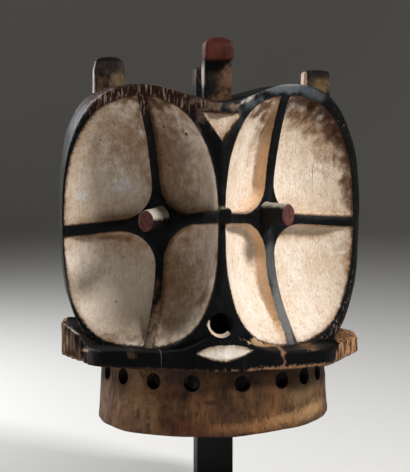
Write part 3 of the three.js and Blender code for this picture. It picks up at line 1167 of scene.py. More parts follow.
        # Stations of (radius, height over the foot, or None and a share of the height).
        foot = [(c.foot - 5.5, 0.0), (c.foot - 3.0, 0.2), (c.foot - 1.1, 1.0), (c.foot - 0.25, 2.4),
                (c.foot, 5.0)]
        wall = [(c.foot + (c.outer - c.foot) * k, None, k) for k in np.linspace(0.14, 1.0, 22)]
        inner = [(c.bore, None, 1.0), (c.bore, None, 0.7), (c.bore, None, 0.4), (c.bore, None, 0.15)]
        bottom = [(c.bore + 0.8, 2.5), (c.bore + 2.6, 0.4), (c.bore + 6, 0.0)]
        for radius, lift, *share in foot + wall + inner + bottom:
            low = c.under + c.tilt * ring[:, 0] * radius
            low = low + 1.1 * grain(np.concatenate([ring * 60, np.zeros((c.around, 1))], 1), 26.0, 2, 3.3)
            z = low + lift if lift is not None else low + (c.top - low) * share[0]
            place = np.concatenate([ring * radius, z[:, None]], 1)
            wander = 1.0 * grain(place, 55.0, 2, 5.5) + 0.6 * grain(place * (1, 1, 0.5), 15.0, 2, 7.1) - 1.0
            place[:, :2] += ring * wander[:, None]
            loops.append(place)
        return Part.from_loops(loops, Slot.COLLAR, ring=True)

    @staticmethod
    def drills() -> list:
        """Lashing holes, a little funnelled outwards."""
        c = COLLAR
        out = []
        for degrees in c.hole_at + tuple(d + 180 for d in c.hole_at):
            a = math.radians(degrees)
            wander = noise.noise(Vector((degrees * 0.37, 2.0, 0.0)))

            def place(local: Array, a: float = a, wander: float = wander) -> Array:
                """Turn a plug to its place round the collar.

                Args:
                    local: Places of a plug along Y.
                    a: Angle round the collar.
                    wander: How far it is off the row.

                Returns:
                    The places, N by 3.
                """
                radial = c.outer + 12 - local[:, 1]
                x = radial * math.sin(a) + local[:, 0] * math.cos(a)
                y = -radial * math.cos(a) + local[:, 0] * math.sin(a)
                return np.stack([x, y, c.hole_z + 1.2 * wander + local[:, 2]], -1)

            r = c.hole / 2 * (1 + 0.04 * wander)
            stations = [(0.0, r + 1.6), (11.0, r + 1.4), (12.6, r + 0.3), (20.0, r), (44.0, r - 0.4)]
            out.append(Forms.tube(place, stations, 28, Slot.INSIDE))
        return out

    @staticmethod
    def mouth() -> Part:
        """The breath hole through the near chin."""
        x, z, across = MOUTH
        r = across / 2
        hole = Forms.tube(lambda p: p + (x, -160, z),
                          [(0, r + 1.8), (32.4, r + 1.6), (35.0, r - 0.7), (80, r - 0.9)], 40, Slot.INSIDE)
        # the funnel's outer faces take the face paint, which lays the painted highlight on its lower-left lip
        hole.slots[:80] = [int(Slot.FACE)] * 80
        return hole

    @staticmethod
    def lens() -> Part:
        """A shallow pointed scoop on the chin that follows the flange's bow."""
        cx, cz, wide, tall, deep, turn = LENS
        c, s = math.cos(math.radians(turn)), math.sin(math.radians(turn))
        t = turns(32)
        loops = []
        for k in np.linspace(-1, 1, 41):
            gape = 1.02 - abs(k) ** 1.7
            across = k * wide / 2
            up = (tall / 2) * gape * np.cos(t)
            x = cx + across * c - up * s
            z = cz + across * s + up * c
            depth = np.where(np.sin(t) > 0, deep, 14.0) * math.sqrt(gape) * np.sin(t)
            ring = np.stack([x, -flange_front(x) + 1.4 + depth, z], -1)
            ring[:, 2] += 0.6 * gape * grain(ring, 7.0, 2, 1.9)
            ring[:, 1] += 0.5 * gape * grain(ring, 6.0, 2, 6.9)
            loops.append(ring)
        return Part.from_loops(loops, Slot.FACE)

    @staticmethod
    def knob() -> Part:
        """The small block on the nose ridge between the level bars."""
        x, z, wide, tall = KNOB
        t = turns(48)
        px = signed_power(np.round(np.cos(t), 12), 0.45) * wide / 2
        pz = signed_power(np.round(np.sin(t), 12), 0.45) * tall / 2
        loops = []
        for y, grow in ((-126, 1.04), (-132, 1.03), (-138, 1.0), (-142, 0.97), (-143.9, 0.93), (-144.7, 0.85),
                        (-145, 0.6), (-145, 0.3)):
            ring = np.stack([x + px * grow, np.full_like(t, y), z + pz * grow], -1)
            ring[:, 1] += 0.5 * grain(ring, 8.0, 2, 3.0) * (y < -140)
            ring[:, 2] += 0.5 * grain(ring, 9.0, 2, 5.0)
            loops.append(ring)
        return Part.from_loops(loops, Slot.FACE)


@dataclass(frozen=True)
class CrestLug:
    """One crest lug: a block with cut-back corners, softened and a little uneven."""
    x: float
    y: float
    wide: float
    deep: float
    foot: float
    top: float
    soft: float
    slot: Slot = Slot.LUG
    chamfer: float = 3.0
    cuts: int = 5
    taper: float = 34.0  # reach over which the top is drawn in

    def worn(self, co: Array, number: int) -> Array:
        """Draw in its top and make its sides uneven.

        Args:
            co: The block's points, N by 3.
            number: Its place in the row, which varies its surface.

        Returns:
            The worn points.
        """
        near_top = np.clip(1 - (self.top - co[:, 2]) / (self.soft * 1.6), 0, 1) ** 2
        off = co[:, :2] - (self.x, self.y)
        co[:, :2] -= off * (near_top * self.soft / self.taper)[:, None]
        crown = (np.abs(off) / (self.wide / 2)).max(axis=1)
        co[:, 2] -= near_top * (crown ** 3) * self.soft * 0.5
        lift = 0.8 * grain(co, 22.0, 2, number * 3.7) + 0.3 * grain(co, 7.0, 2, number * 1.9) - 0.5
        away = off / np.maximum(np.linalg.norm(off, axis=1), 1e-3)[:, None]
        co[:, :2] += away * lift[:, None]
        return co

    def build(self, number: int, materials: list) -> Object:
        """Make the lug.

        Args:
            number: Its place in the row.
            materials: The mask's finishes, in the order of Slot.

        Returns:
            The lug as an object of its own.
        """
        tall = self.top - self.foot
        obj = soft_block(f"lug_{number}", (self.wide * MM, self.deep * MM, tall * MM),
                         (self.x * MM, self.y * MM, (self.foot + tall / 2) * MM), self.chamfer, self.cuts)
        mesh = obj.data
        mesh.vertices.foreach_set("co", (self.worn(points_of(mesh), number) * MM).reshape(-1))
        mesh.materials.clear()
        for material in materials:
            mesh.materials.append(material)
        slots = np.full(len(mesh.polygons), int(self.slot), dtype=np.int32)
        mesh.polygons.foreach_set("material_index", slots)
        mesh.update()
        return obj


LUGS = (
    CrestLug(-116.0, 0.0, 35.0, 34.0, 430.0, 511.0, 8.0),
    CrestLug(114.0, 0.0, 31.0, 34.0, 430.0, 497.0, 4.0),
    CrestLug(-7.0, -84.0, 31.0, 22.0, 440.0, 510.0, 4.0),
    CrestLug(-7.0, -90.0, 31.0, 34.0, 504.0, 529.0, 8.0, Slot.LUG_HEAD),
    CrestLug(3.5, 85.0, 31.0, 34.0, 440.0, 503.0, 4.0),
)


# Shader graph

@dataclass(frozen=True, eq=False)
class Wire:
    """A shader socket that can be used in sums."""
    graph: "Graph"
    socket: bpy.types.NodeSocket

    def maths(self, operation: str, *others: "Wire | float", clamp: bool = False) -> "Wire":
        """One Math node that starts from this value."""
        inputs = {i: value for i, value in enumerate((self,) + others)}
        return self.graph.node("ShaderNodeMath", inputs, operation=operation, use_clamp=clamp)

    def __add__(self, other: "Wire | float") -> "Wire":
        """Sum."""
        return self.maths("ADD", other)

    def __sub__(self, other: "Wire | float") -> "Wire":
        """Difference."""
        return self.maths("SUBTRACT", other)

    def __rsub__(self, other: float) -> "Wire":
        """Difference, from the right."""
        return self.graph.value_math("SUBTRACT", other, self)

    def __mul__(self, other: "Wire | float") -> "Wire":
        """Product."""
        return self.maths("MULTIPLY", other)

    def clamp(self) -> "Wire":
        """The value kept within 0 to 1."""
        return self.maths("ADD", 0.0, clamp=True)

    def above(self, limit: float) -> "Wire":
        """1 past the limit, else 0."""
        return self.maths("GREATER_THAN", limit)

    def step(self, low: float, high: float) -> "Wire":
        """Eased 0 to 1 as the value runs from low to high."""
        return self.graph.node("ShaderNodeMapRange", {0: self, 1: low, 2: high, 3: 0.0, 4: 1.0},
                               interpolation_type="SMOOTHSTEP")


FINEST_BROAD = 3.0  # millimetres: marks narrower than this are drawn by the shader


@dataclass(frozen=True)
class Mark:
    """One stain, patch or crack, or a painted shade or highlight, placed on a flat or unrolled plane in
    millimetres.
    """
    at: tuple
    half: tuple
    color: tuple
    strength: float = 1.0
    turn: float = 0.0  # degrees
    soft: float = 0.6  # share of its size over which it fades
    ragged: float = 0.5

    def cover(self, flat: Array, rag: Array) -> tuple:
        """How far a place is from its middle, in its own sizes, and how much it covers there.

        Args:
            flat: N by 2 places on its plane, in millimetres.
            rag: Noise about zero at those places.

        Returns:
            The distances and the cover, from 0 to its strength.
        """
        c, s = math.cos(math.radians(self.turn)), math.sin(math.radians(self.turn))
        d = flat - self.at
        wide, tall = self.half
        away = np.hypot((d[:, 0] * c + d[:, 1] * s) / wide, (d[:, 1] * c - d[:, 0] * s) / tall)
        away = away + rag * self.ragged
        return away, smooth((1 + self.soft / 2 - away) / (1.5 * self.soft)) * self.strength

    @property
    def broad(self) -> bool:
        """Whether the mesh's points are close enough together to hold it."""
        return min(self.half) >= FINEST_BROAD


class Graph:
    """One material and its nodes."""

    def __init__(self, name: str) -> None:
        """Start an empty material of this name."""
        self.material = bpy.data.materials.new(name)
        self.material.use_nodes = True
        self.tree = self.material.node_tree
        self.tree.nodes.clear()

    def node(self, kind: str, inputs: dict, output: int = 0, **settings: object) -> Wire:
        """Make a node, set or link its inputs, and give one output.

        Args:
            kind: Node type.
            inputs: Values or wires by socket name or number.
            output: Which output to give.
            settings: Node settings, set before its inputs.

        Returns:
            The output as a wire.
        """
        made = self.tree.nodes.new(kind)
        for key, value in settings.items():
            setattr(made, key, value)
        for key, value in inputs.items():
            if isinstance(value, Wire):
                self.tree.links.new(value.socket, made.inputs[key])
            else:
                made.inputs[key].default_value = value
        return Wire(self, made.outputs[output])

    def value_math(self, operation: str, a: "Wire | float", b: "Wire | float") -> Wire:
        """Maths where the first input may be a number."""
        return self.node("ShaderNodeMath", {0: a, 1: b}, operation=operation)

    def place(self, scale: tuple = (1, 1, 1), shift: tuple = (0, 0, 0)) -> Wire:
        """Object coordinates, stretched."""
        coords = self.node("ShaderNodeTexCoord", {}, output=3)
        return self.node("ShaderNodeMapping", {"Vector": coords, "Scale": scale, "Location": shift})

    def axis(self, which: int) -> Wire:
        """One object coordinate in millimetres."""
        coords = self.node("ShaderNodeTexCoord", {}, output=3)
        return self.node("ShaderNodeSeparateXYZ", {0: coords}, output=which) * (1 / MM)

    def vector(self, x: "Wire | float", y: "Wire | float", z: "Wire | float" = 0.0) -> Wire:
        """Three values as one vector."""
        return self.node("ShaderNodeCombineXYZ", {0: x, 1: y, 2: z})

    def face_plane(self) -> Wire:
        """Place on the near face: distance from the nose along the face, and height.

        The far face is sent far away, so that marks stay on the near one.
        """
        x, y, z = (self.axis(i) for i in range(3))
        dx = x - FRAME.nose_x
        u = dx.maths("ABSOLUTE") * FRAME.cos + (y + FRAME.nose_y) * FRAME.sin
        s = u * dx.maths("SIGN")
        return self.vector(s, z + y.above(0.0) * FAR_AWAY)

    def front_plane(self) -> Wire:
        """Width and height of what faces the viewer; the rest is sent far away."""
        return self.vector(self.axis(0), self.axis(2) + self.axis(1).above(0.0) * FAR_AWAY)

    def round_plane(self) -> Wire:
        """Distance round the collar from its front, and height."""
        around = self.value_math("ARCTAN2", self.axis(0), self.axis(1) * -1.0) * COLLAR.foot
        return self.vector(around, self.axis(2))

    def noise(self, size_mm: float, detail: float = 3.0, rough: float = 0.55, scale: tuple = (1, 1, 1),
              shift: tuple = (0, 0, 0)) -> Wire:
        """Smooth noise, 0 to 1.

        Args:
            size_mm: Wavelength in millimetres.
            detail: How many finer layers it has.
            rough: Strength of each finer layer.
            scale: Stretches the place; a small value draws the noise out along that axis.
            shift: Moves the pattern.

        Returns:
            The noise.
        """
        return self.node("ShaderNodeTexNoise", {
            "Vector": self.place(scale, shift), "Scale": 1.0 / (MM * size_mm), "Detail": detail,
            "Roughness": rough})

    def dots(self, cell_mm: float, radius_mm: float, share: float, shift: tuple = (0, 0, 0)) -> Wire:
        """Scattered round specks.

        Args:
            cell_mm: Usual distance between places where a speck may be.
            radius_mm: Size of a speck.
            share: How many of the places hold one.
            shift: Moves the pattern.

        Returns:
            1 on a speck, 0 elsewhere.
        """
        spot = {"Vector": self.place((1, 1, 1), shift), "Scale": 1.0 / (MM * cell_mm)}
        away = self.node("ShaderNodeTexVoronoi", spot)
        pick = self.node("ShaderNodeSeparateXYZ", {0: self.node("ShaderNodeTexVoronoi", spot, output=1)})
        size = radius_mm / cell_mm
        return away.step(size, size * 0.5) * pick.above(1.0 - share)

    def scoops(self, size_mm: float) -> Wire:
        """Overlapping tool cuts: 0 in the middle of a cut, up to 1 on the arris between two."""
        spot = {"Vector": self.place((1, 1, 0.55), (4, 2, 7)), "Scale": 1.0 / (MM * size_mm)}
        away = self.node("ShaderNodeTexVoronoi", spot)
        return away * away

    def attribute(self, name: str) -> Wire:
        """A number stored on the mesh's points."""
        return self.node("ShaderNodeAttribute", {}, output=2, attribute_name=name)

    def mix(self, factor: "Wire | float", a: "Wire | tuple", b: "Wire | tuple") -> Wire:
        """Blend two colours.

        Args:
            factor: Share of the second.
            a: The first.
            b: The second.

        Returns:
            The blend.
        """
        made = self.tree.nodes.new("ShaderNodeMix")
        made.data_type = "RGBA"
        for key, value in ((0, factor), (6, a), (7, b)):
            if isinstance(value, Wire):
                self.tree.links.new(value.socket, made.inputs[key])
            else:
                made.inputs[key].default_value = value if key == 0 else (*value, 1.0)
        return Wire(self, made.outputs[2])

    def lerp(self, factor: Wire, a: "Wire | float", b: "Wire | float") -> Wire:
        """Blend two numbers."""
        return self.node("ShaderNodeMix", {0: factor, 2: a, 3: b}, data_type="FLOAT")

    def marked(self, color: Wire, plane: Wire, marks: Sequence[Mark]) -> Wire:
        """Lay marks over a colour, in order.

        Args:
            color: The colour under them.
            plane: Place on their plane, in millimetres.
            marks: The marks.

        Returns:
            The marked colour.
        """
        rag = self.noise(4.5, 4.0, 0.7, (1, 1, 0.8), (2, 9, 4)) - 0.5
        for mark in marks:
            local = self.node("ShaderNodeMapping", {
                "Vector": plane, "Location": (*mark.at, 0), "Rotation": (0, 0, math.radians(mark.turn)),
                "Scale": (*mark.half, 1)}, vector_type="TEXTURE")
            away = self.node("ShaderNodeVectorMath", {0: local}, output=1, operation="LENGTH")
            away = away + rag * (mark.ragged * 2.0)
            cover = away.step(1.0 + mark.soft / 2, 1.0 - mark.soft) * mark.strength
            color = self.mix(cover, color, mark.color)
        return color

    def stained_and_painted_light(self, color: Wire, name: str) -> Wire:
        """Lay over a colour the broad marks stored on the mesh's points.

        Args:
            color: The colour under them.
            name: What they are stored as.

        Returns:
            The stained colour.
        """
        tint = self.node("ShaderNodeAttribute", {}, output=0, attribute_name=name)
        cover = self.node("ShaderNodeAttribute", {}, output=3, attribute_name=name)
        rag = self.noise(3.4, 4.0, 0.72, (1, 1, 0.8), (2, 9, 4)) - 0.5
        return self.mix((cover + rag * cover * (1.0 - cover) * 5.0).clamp(), color, tint)

    def finish(self, color: "Wire | tuple", roughness: "Wire | float", height: Wire, distance: float,
               specular: float) -> Material:
        """Wire up the surface.

        Args:
            color: Base colour.
            roughness: Roughness.
            height: Bump height, about 0 to 1.
            distance: What a height of 1 measures, in millimetres.
            specular: Specular level, the same all over.

        Returns:
            The finished material.
        """
        bump = self.node("ShaderNodeBump", {"Height": height, "Distance": distance * MM, "Strength": 1.0})
        inputs = {"Base Color": color, "Roughness": roughness, "Normal": bump, "Specular IOR Level": specular}
        if not isinstance(color, Wire):
            inputs["Base Color"] = (*color, 1.0)
        shader = self.node("ShaderNodeBsdfPrincipled", inputs)
        out = self.tree.nodes.new("ShaderNodeOutputMaterial")
        self.tree.links.new(shader.socket, out.inputs[0])
        return self.material


def srgb(r: float, g: float, b: float) -> tuple:
    """Linear colour from 0 to 255 screen values."""
    return tuple((c / 255) / 12.92 if c / 255 <= 0.04045 else ((c / 255 + 0.055) / 1.055) ** 2.4
                 for c in (r, g, b))


# Finishes

FAR_AWAY = 5000.0
GRIME = (92, 62, 38)
SOOT = (52, 38, 28)
EARTH = (84, 52, 30)
SHEEN = (98, 103, 106)
PIGMENT = srgb(10, 11, 13)


def marks(*rows: tuple) -> tuple:
    """Marks from rows of across, up, half width, half height, colour, strength, turn, soft, ragged."""
    return tuple(Mark(row[:2], row[2:4], srgb(*row[4]), *row[5:]) for row in rows)


# Stain marks, patches and cracks of the near face, with painted shade and painted light where noted: distance
# from the nose, height, in millimetres.
PANEL_MARKS = marks(
    # Left eye, from its top down.
    (-118, 434, 4, 15, (196, 194, 196), 0.35, 0, 0.9, 1.6),
    # painted shade over the left eye's upper panels and the top of its outer lower panel: the next three rows
    (-122, 420, 44, 48, (150, 116, 84), 0.66, 6, 1.0, 0.5),
    (-72, 402, 34, 66, (142, 110, 80), 0.68, 12, 1.0, 0.5),
    (-130, 312, 50, 22, (166, 132, 100), 0.55, 0, 1.0, 0.6),
    # painted light: a pale patch where the light falls on the left eye's lower outer panel
    (-134, 250, 44, 28, (252, 240, 224), 0.6, 20, 1.0, 0.3),
    # soot along the top of the outer upper panel, with painted shade under the rim
    (-124, 464, 46, 7, (120, 88, 60), 0.6, 6, 1.0, 1.2),
    (-66, 410, 17, 34, (146, 132, 122), 0.45, 12, 1.0, 0.8),
    (-95, 372, 7, 22, (132, 88, 54), 0.6, 10, 0.9, 0.7),
    # soot along the panel tops, with painted shade under the rim: the next two rows
    (-72, 460, 28, 7, (84, 56, 36), 0.8, 14, 0.9, 1.0),
    (-124, 464, 40, 4, (84, 56, 36), 0.7, 4, 0.9, 1.2),
    (-62, 438, 22, 14, (128, 94, 64), 0.5, 14, 1.0, 1.2),
    # painted shadow under the left eye's level bar: the next three rows
    (-166, 317, 24, 6, (120, 88, 58), 0.6, -10, 0.9, 1.2),
    (-142, 314, 18, 4, (132, 98, 66), 0.5, 0, 0.9, 1.2),
    (-77, 323, 14, 5, (134, 94, 58), 0.55, 18, 0.9, 1.2),
    (-84, 286, 4, 30, (206, 168, 128), 0.6, 0, 0.9, 0.7),
    # painted shade over the left eye's lower panel by the nose
    (-62, 270, 34, 62, (146, 110, 78), 0.7, 0, 1.0, 0.5),
    (-26, 258, 6, 30, (124, 88, 58), 0.55, -22, 1.0, 1.3),
    (-122, 210, 40, 5, (120, 84, 54), 0.5, 0, 1.0, 1.4),
    # Right eye, from its top down, with the dark run by the rim.
    (41, 447, 10, 16, (120, 82, 50), 0.7, -30, 0.9, 1.2),
    (60, 453, 17, 9, EARTH, 0.8, 12, 0.9, 1.2),
    (74, 452, 9, 17, (104, 68, 40), 0.75, -10, 0.9, 1.0),
    (74, 428, 7, 24, (146, 108, 74), 0.6, -14, 1.0, 1.0),
    (84, 404, 4, 26, (158, 120, 84), 0.5, -8, 1.0, 0.9),
    (136, 438, 36, 14, (150, 114, 80), 0.6, -20, 1.0, 0.8),
    (160, 414, 13, 28, (150, 114, 80), 0.55, 24, 1.0, 0.8),
    # soot and stain along the top of the outer upper panel, with painted shade under the rim: the next four
    # rows
    (126, 448, 26, 9, (104, 70, 44), 0.7, -10, 0.9, 0.8),
    (158, 432, 14, 17, (104, 70, 44), 0.65, 34, 0.9, 0.8),
    (118, 461, 34, 11, (58, 35, 20), 0.92, -5, 0.8, 0.5),
    (146, 451, 24, 12, (58, 35, 20), 0.92, -24, 0.8, 0.5),
    (167, 435, 12, 21, (60, 36, 21), 0.92, 34, 0.8, 0.5),
    (179, 410, 8, 28, (66, 40, 24), 0.9, 14, 0.8, 0.6),
    (186, 374, 5.5, 28, (92, 60, 36), 0.85, 4, 0.8, 0.8),
    (130, 443, 1.6, 13, (88, 58, 36), 0.6, -24, 0.8, 0.6),
    (141, 434, 1.4, 11, (104, 72, 46), 0.55, -30, 0.8, 0.6),
    (116, 446, 1.4, 10, (96, 66, 42), 0.5, -14, 0.8, 0.6),
    (172, 400, 1.4, 12, (96, 66, 42), 0.55, 10, 0.8, 0.6),
    # Triangle and lens; the triangle's brown top band is dirt with painted shade under the hollow's top edge.
    (-8, 451, 26, 2.4, (84, 54, 34), 0.9, -5, 0.6, 1.0),
    (-14, 210, 10, 3, (138, 100, 70), 0.75, 20, 0.8, 2.0),
    (-3, 201, 24, 6, (250, 246, 240), 0.7, 3, 0.9, 0.6),
    # Right eye, under its level bar: a painted shadow cast by the bar, then a tan run down the outer side.
    (145, 313, 44, 5, (186, 150, 112), 0.55, 0, 1.0, 1.0),
    (185, 276, 5, 46, (150, 112, 78), 0.6, -6, 1.0, 1.2),
    # Specks and cracks.
    (-154, 420.5, 1.2, 1.2, SOOT, 0.7, 0, 0.4, 0.2),
    (-80.4, 434.8, 1.4, 1.2, SOOT, 0.75, 0, 0.4, 0.2),
    (-51.3, 427.7, 2.4, 2.0, GRIME, 0.95, 0, 0.4, 0.3),
    (-85.9, 404.9, 1.0, 1.4, SOOT, 0.6, 0, 0.4, 0.2),
    (-82.3, 394.2, 1.0, 1.0, SOOT, 0.6, 0, 0.4, 0.2),
    (-140.4, 245.3, 1.3, 1.3, GRIME, 0.6, 0, 0.4, 0.2),
    (-138.2, 293.1, 1.3, 1.3, GRIME, 0.6, 0, 0.4, 0.2),
    (79, 431, 0.8, 12, SOOT, 0.8, -8, 0.5, 0.2),
    (73, 443, 0.6, 9, SOOT, 0.7, -4, 0.5, 0.3),
    (84.6, 396, 0.7, 1.2, SOOT, 0.8, 0, 0.4, 0.2),
    (84.9, 388, 0.7, 3.5, SOOT, 0.7, 0, 0.4, 0.6),
    (156, 380, 0.4, 21, GRIME, 0.6, 4, 0.5, 0.1),
)

# Where chalky paint is left in crumbs, as (place, half size).
CHALK_PATCHES = (((-139, 371), (17, 12)), ((-176, 361), (8, 8)), ((-110, 428), (3, 9)))

# Marks for the black parts of that face, laid out the same way: wear, with painted sheen and highlights where
# noted.
PIGMENT_MARKS = marks(
    # painted sheen and a painted highlight along the right rim's top and the brow beside it: the next five
    # rows
    (84, 476.5, 40, 6.5, SHEEN, 0.85, -1, 0.5, 0.3),
    (122, 472, 26, 6.5, (80, 84, 88), 0.8, -14, 0.6, 0.4),
    (80, 480, 40, 2, (150, 150, 150), 0.6, 0, 0.8, 0.8),
    (44, 461, 20, 6, (92, 98, 102), 0.7, 22, 0.8, 0.8),
    (26, 440, 9, 9, (54, 60, 66), 0.5, 0, 0.9, 0.6),
    (36, 464, 12, 2.5, (186, 178, 168), 0.8, 22, 0.8, 1.8),
    # painted highlight on the lit side of the right eye's lower upright bar: the next two rows
    (92, 284, 10, 38, (96, 97, 99), 0.85, 4, 0.6, 0.3),
    (97, 230, 11, 40, (124, 124, 122), 0.9, 6, 0.6, 0.3),
    (-85.5, 221, 8, 26, (148, 133, 112), 0.9, 4, 0.6, 1.6),
    (-88.5, 254, 6, 17, (134, 98, 70), 0.8, 4, 0.9, 1.8),
    (108, 334, 30, 4, (46, 48, 51), 0.5, -4, 0.9, 0.4),
    (92, 363, 5, 20, (46, 48, 51), 0.5, 0, 0.9, 0.4),
    (-37, 348, 19, 1.0, (196, 180, 160), 0.85, 11, 0.5, 0.8),
    (-1, 353.5, 9, 1.8, (160, 146, 128), 0.85, 0, 0.7, 1.2),
    (-26, 446, 7, 11, (150, 126, 110), 0.45, 10, 0.9, 2.0),
    (-8, 458, 24, 4, (136, 116, 100), 0.7, -6, 0.9, 2.0),
    (48, 209, 12, 3.5, (206, 172, 138), 0.9, -22, 0.7, 1.4),
    (72, 203.5, 20, 2.0, (176, 140, 106), 0.8, -6, 0.8, 1.8),
    (58.7, 466, 0.7, 16, (6, 6, 6), 0.95, 0, 0.3, 0.1),
)

# On the collar: distance round from its front, height.
COLLAR_MARKS = marks(
    # painted highlight: paler patches low on the lit right side of the collar, the next three rows
    (112, 130, 34, 9, (190, 154, 112), 0.7, 6, 0.9, 1.0),
    (62, 126, 26, 7, (176, 138, 98), 0.65, 3, 0.9, 1.2),
    (96, 150, 30, 12, (140, 118, 84), 0.55, 0, 1.0, 1.2),
    (20, 121, 44, 6, (160, 116, 76), 0.55, 0, 0.9, 1.6),
    (-44, 119, 30, 12, (90, 50, 36), 0.65, 0, 0.9, 1.2),
    (-52, 172, 26, 11, (58, 32, 32), 0.75, -8, 0.9, 1.2),
    # painted shadow of the flange along the collar's top: the next two rows
    (10, 180, 100, 6, (48, 31, 22), 0.75, 0, 1.0, 1.2),
    (78, 174, 26, 8, (56, 38, 24), 0.6, 0, 1.0, 1.6),
    (-104, 152, 14, 26, (160, 128, 92), 0.6, 8, 0.9, 1.6),
    (-84, 138, 6, 24, (158, 122, 86), 0.5, 4, 0.9, 1.8),
    (-20, 148, 6, 3, (52, 32, 22), 0.8, 0, 0.7, 1.2),
    (5, 140, 4, 3, (58, 37, 26), 0.7, 0, 0.7, 1.2),
    (-34, 136, 3, 3, (52, 34, 24), 0.7, 0, 0.7, 1.2),
    (44, 152, 10, 6, (66, 42, 34), 0.6, -10, 0.9, 1.6),
)

# On the lugs and the flange: place across, height.
LUG_MARKS = marks(
    # painted light: the tan patch on the left lug's right half, its lit part
    (-107, 482, 9, 13, (140, 118, 90), 0.8, 0, 0.9, 1.2),
    (-125, 468, 8, 20, (104, 80, 54), 0.7, 0, 0.9, 1.2),
    (-114, 504, 20, 9, (22, 15, 13), 0.9, 0, 0.8, 1.2),
    # painted shadow under the front lug's head and down the left of its stem, and painted light on the stem's
    # right: the next three rows
    (-7, 499, 20, 6, (8, 7, 7), 0.95, 0, 0.4, 0.6),
    (-15, 478, 8, 22, (12, 9, 8), 0.85, 0, 0.7, 1.2),
    (3, 484, 10, 17, (122, 92, 70), 0.8, -12, 0.9, 1.4),
    (-4, 464, 14, 6, (126, 94, 66), 0.6, 0, 0.9, 1.6),
    (117, 478, 12, 10, (126, 102, 66), 0.85, 0, 0.9, 1.2),
    (117, 492, 18, 4.0, (24, 17, 13), 0.9, 0, 0.8, 1.2),
    # painted highlights: pale strips down the lugs' left sides, where the light from behind grazes them; the
    # next three rows
    (100, 482, 2.8, 16, (216, 186, 168), 0.95, 0, 0.7, 0.6),
    (-133, 472, 1.7, 34, (196, 188, 180), 0.9, 0, 0.6, 0.8),
    (-22, 488, 1.7, 14, (170, 162, 154), 0.85, 0, 0.6, 0.8),
)
JAW_MARKS = marks(
    # painted shade: the left end of the flange darkened, as it lies in shade
    (-164, 202, 26, 34, (52, 40, 34), 0.72, 0, 0.5, 0.8),
    (-163, 225, 16, 7, (40, 40, 42), 0.8, -20, 0.7, 1.0),
    (-159, 214.5, 8, 0.9, (176, 164, 152), 0.9, -24, 0.6, 0.8),
    (-157, 184, 13, 1.5, (150, 128, 108), 0.85, -5, 0.7, 1.6),
    (-146.5, 197, 4, 1.6, (170, 146, 124), 0.85, 30, 0.6, 1.0),
    (-164, 200, 1.0, 9, (146, 124, 106), 0.8, 3, 0.7, 0.8),
    (-168.5, 196, 0.9, 9, (134, 112, 96), 0.8, -2, 0.7, 0.8),
    (-157, 195, 0.9, 7, (120, 98, 82), 0.7, 4, 0.7, 0.8),
    (-152, 192, 1.0, 6, (110, 88, 72), 0.6, -6, 0.7, 0.8),
    (-70, 198, 0.45, 14, (124, 116, 108), 0.7, 2, 0.5, 0.4),
    (-60, 184.0, 70, 1.6, (84, 58, 42), 0.75, 0, 0.8, 2.4),
    (64, 184.5, 60, 2.4, (156, 120, 92), 0.85, 0, 0.8, 2.4),
    (28, 212.5, 12, 3.4, (208, 174, 140), 0.9, -16, 0.7, 1.8),
    (52, 208, 16, 2.0, (182, 144, 110), 0.85, -6, 0.8, 2.0),
    (56.5, 201, 2.4, 9, (160, 122, 92), 0.8, 6, 0.8, 2.0),
    (92, 203, 9, 2, (150, 112, 80), 0.5, 6, 0.8, 2.4),
    (-99.5, 198, 4, 3, (110, 84, 64), 0.7, 0, 0.8, 2.4),
)


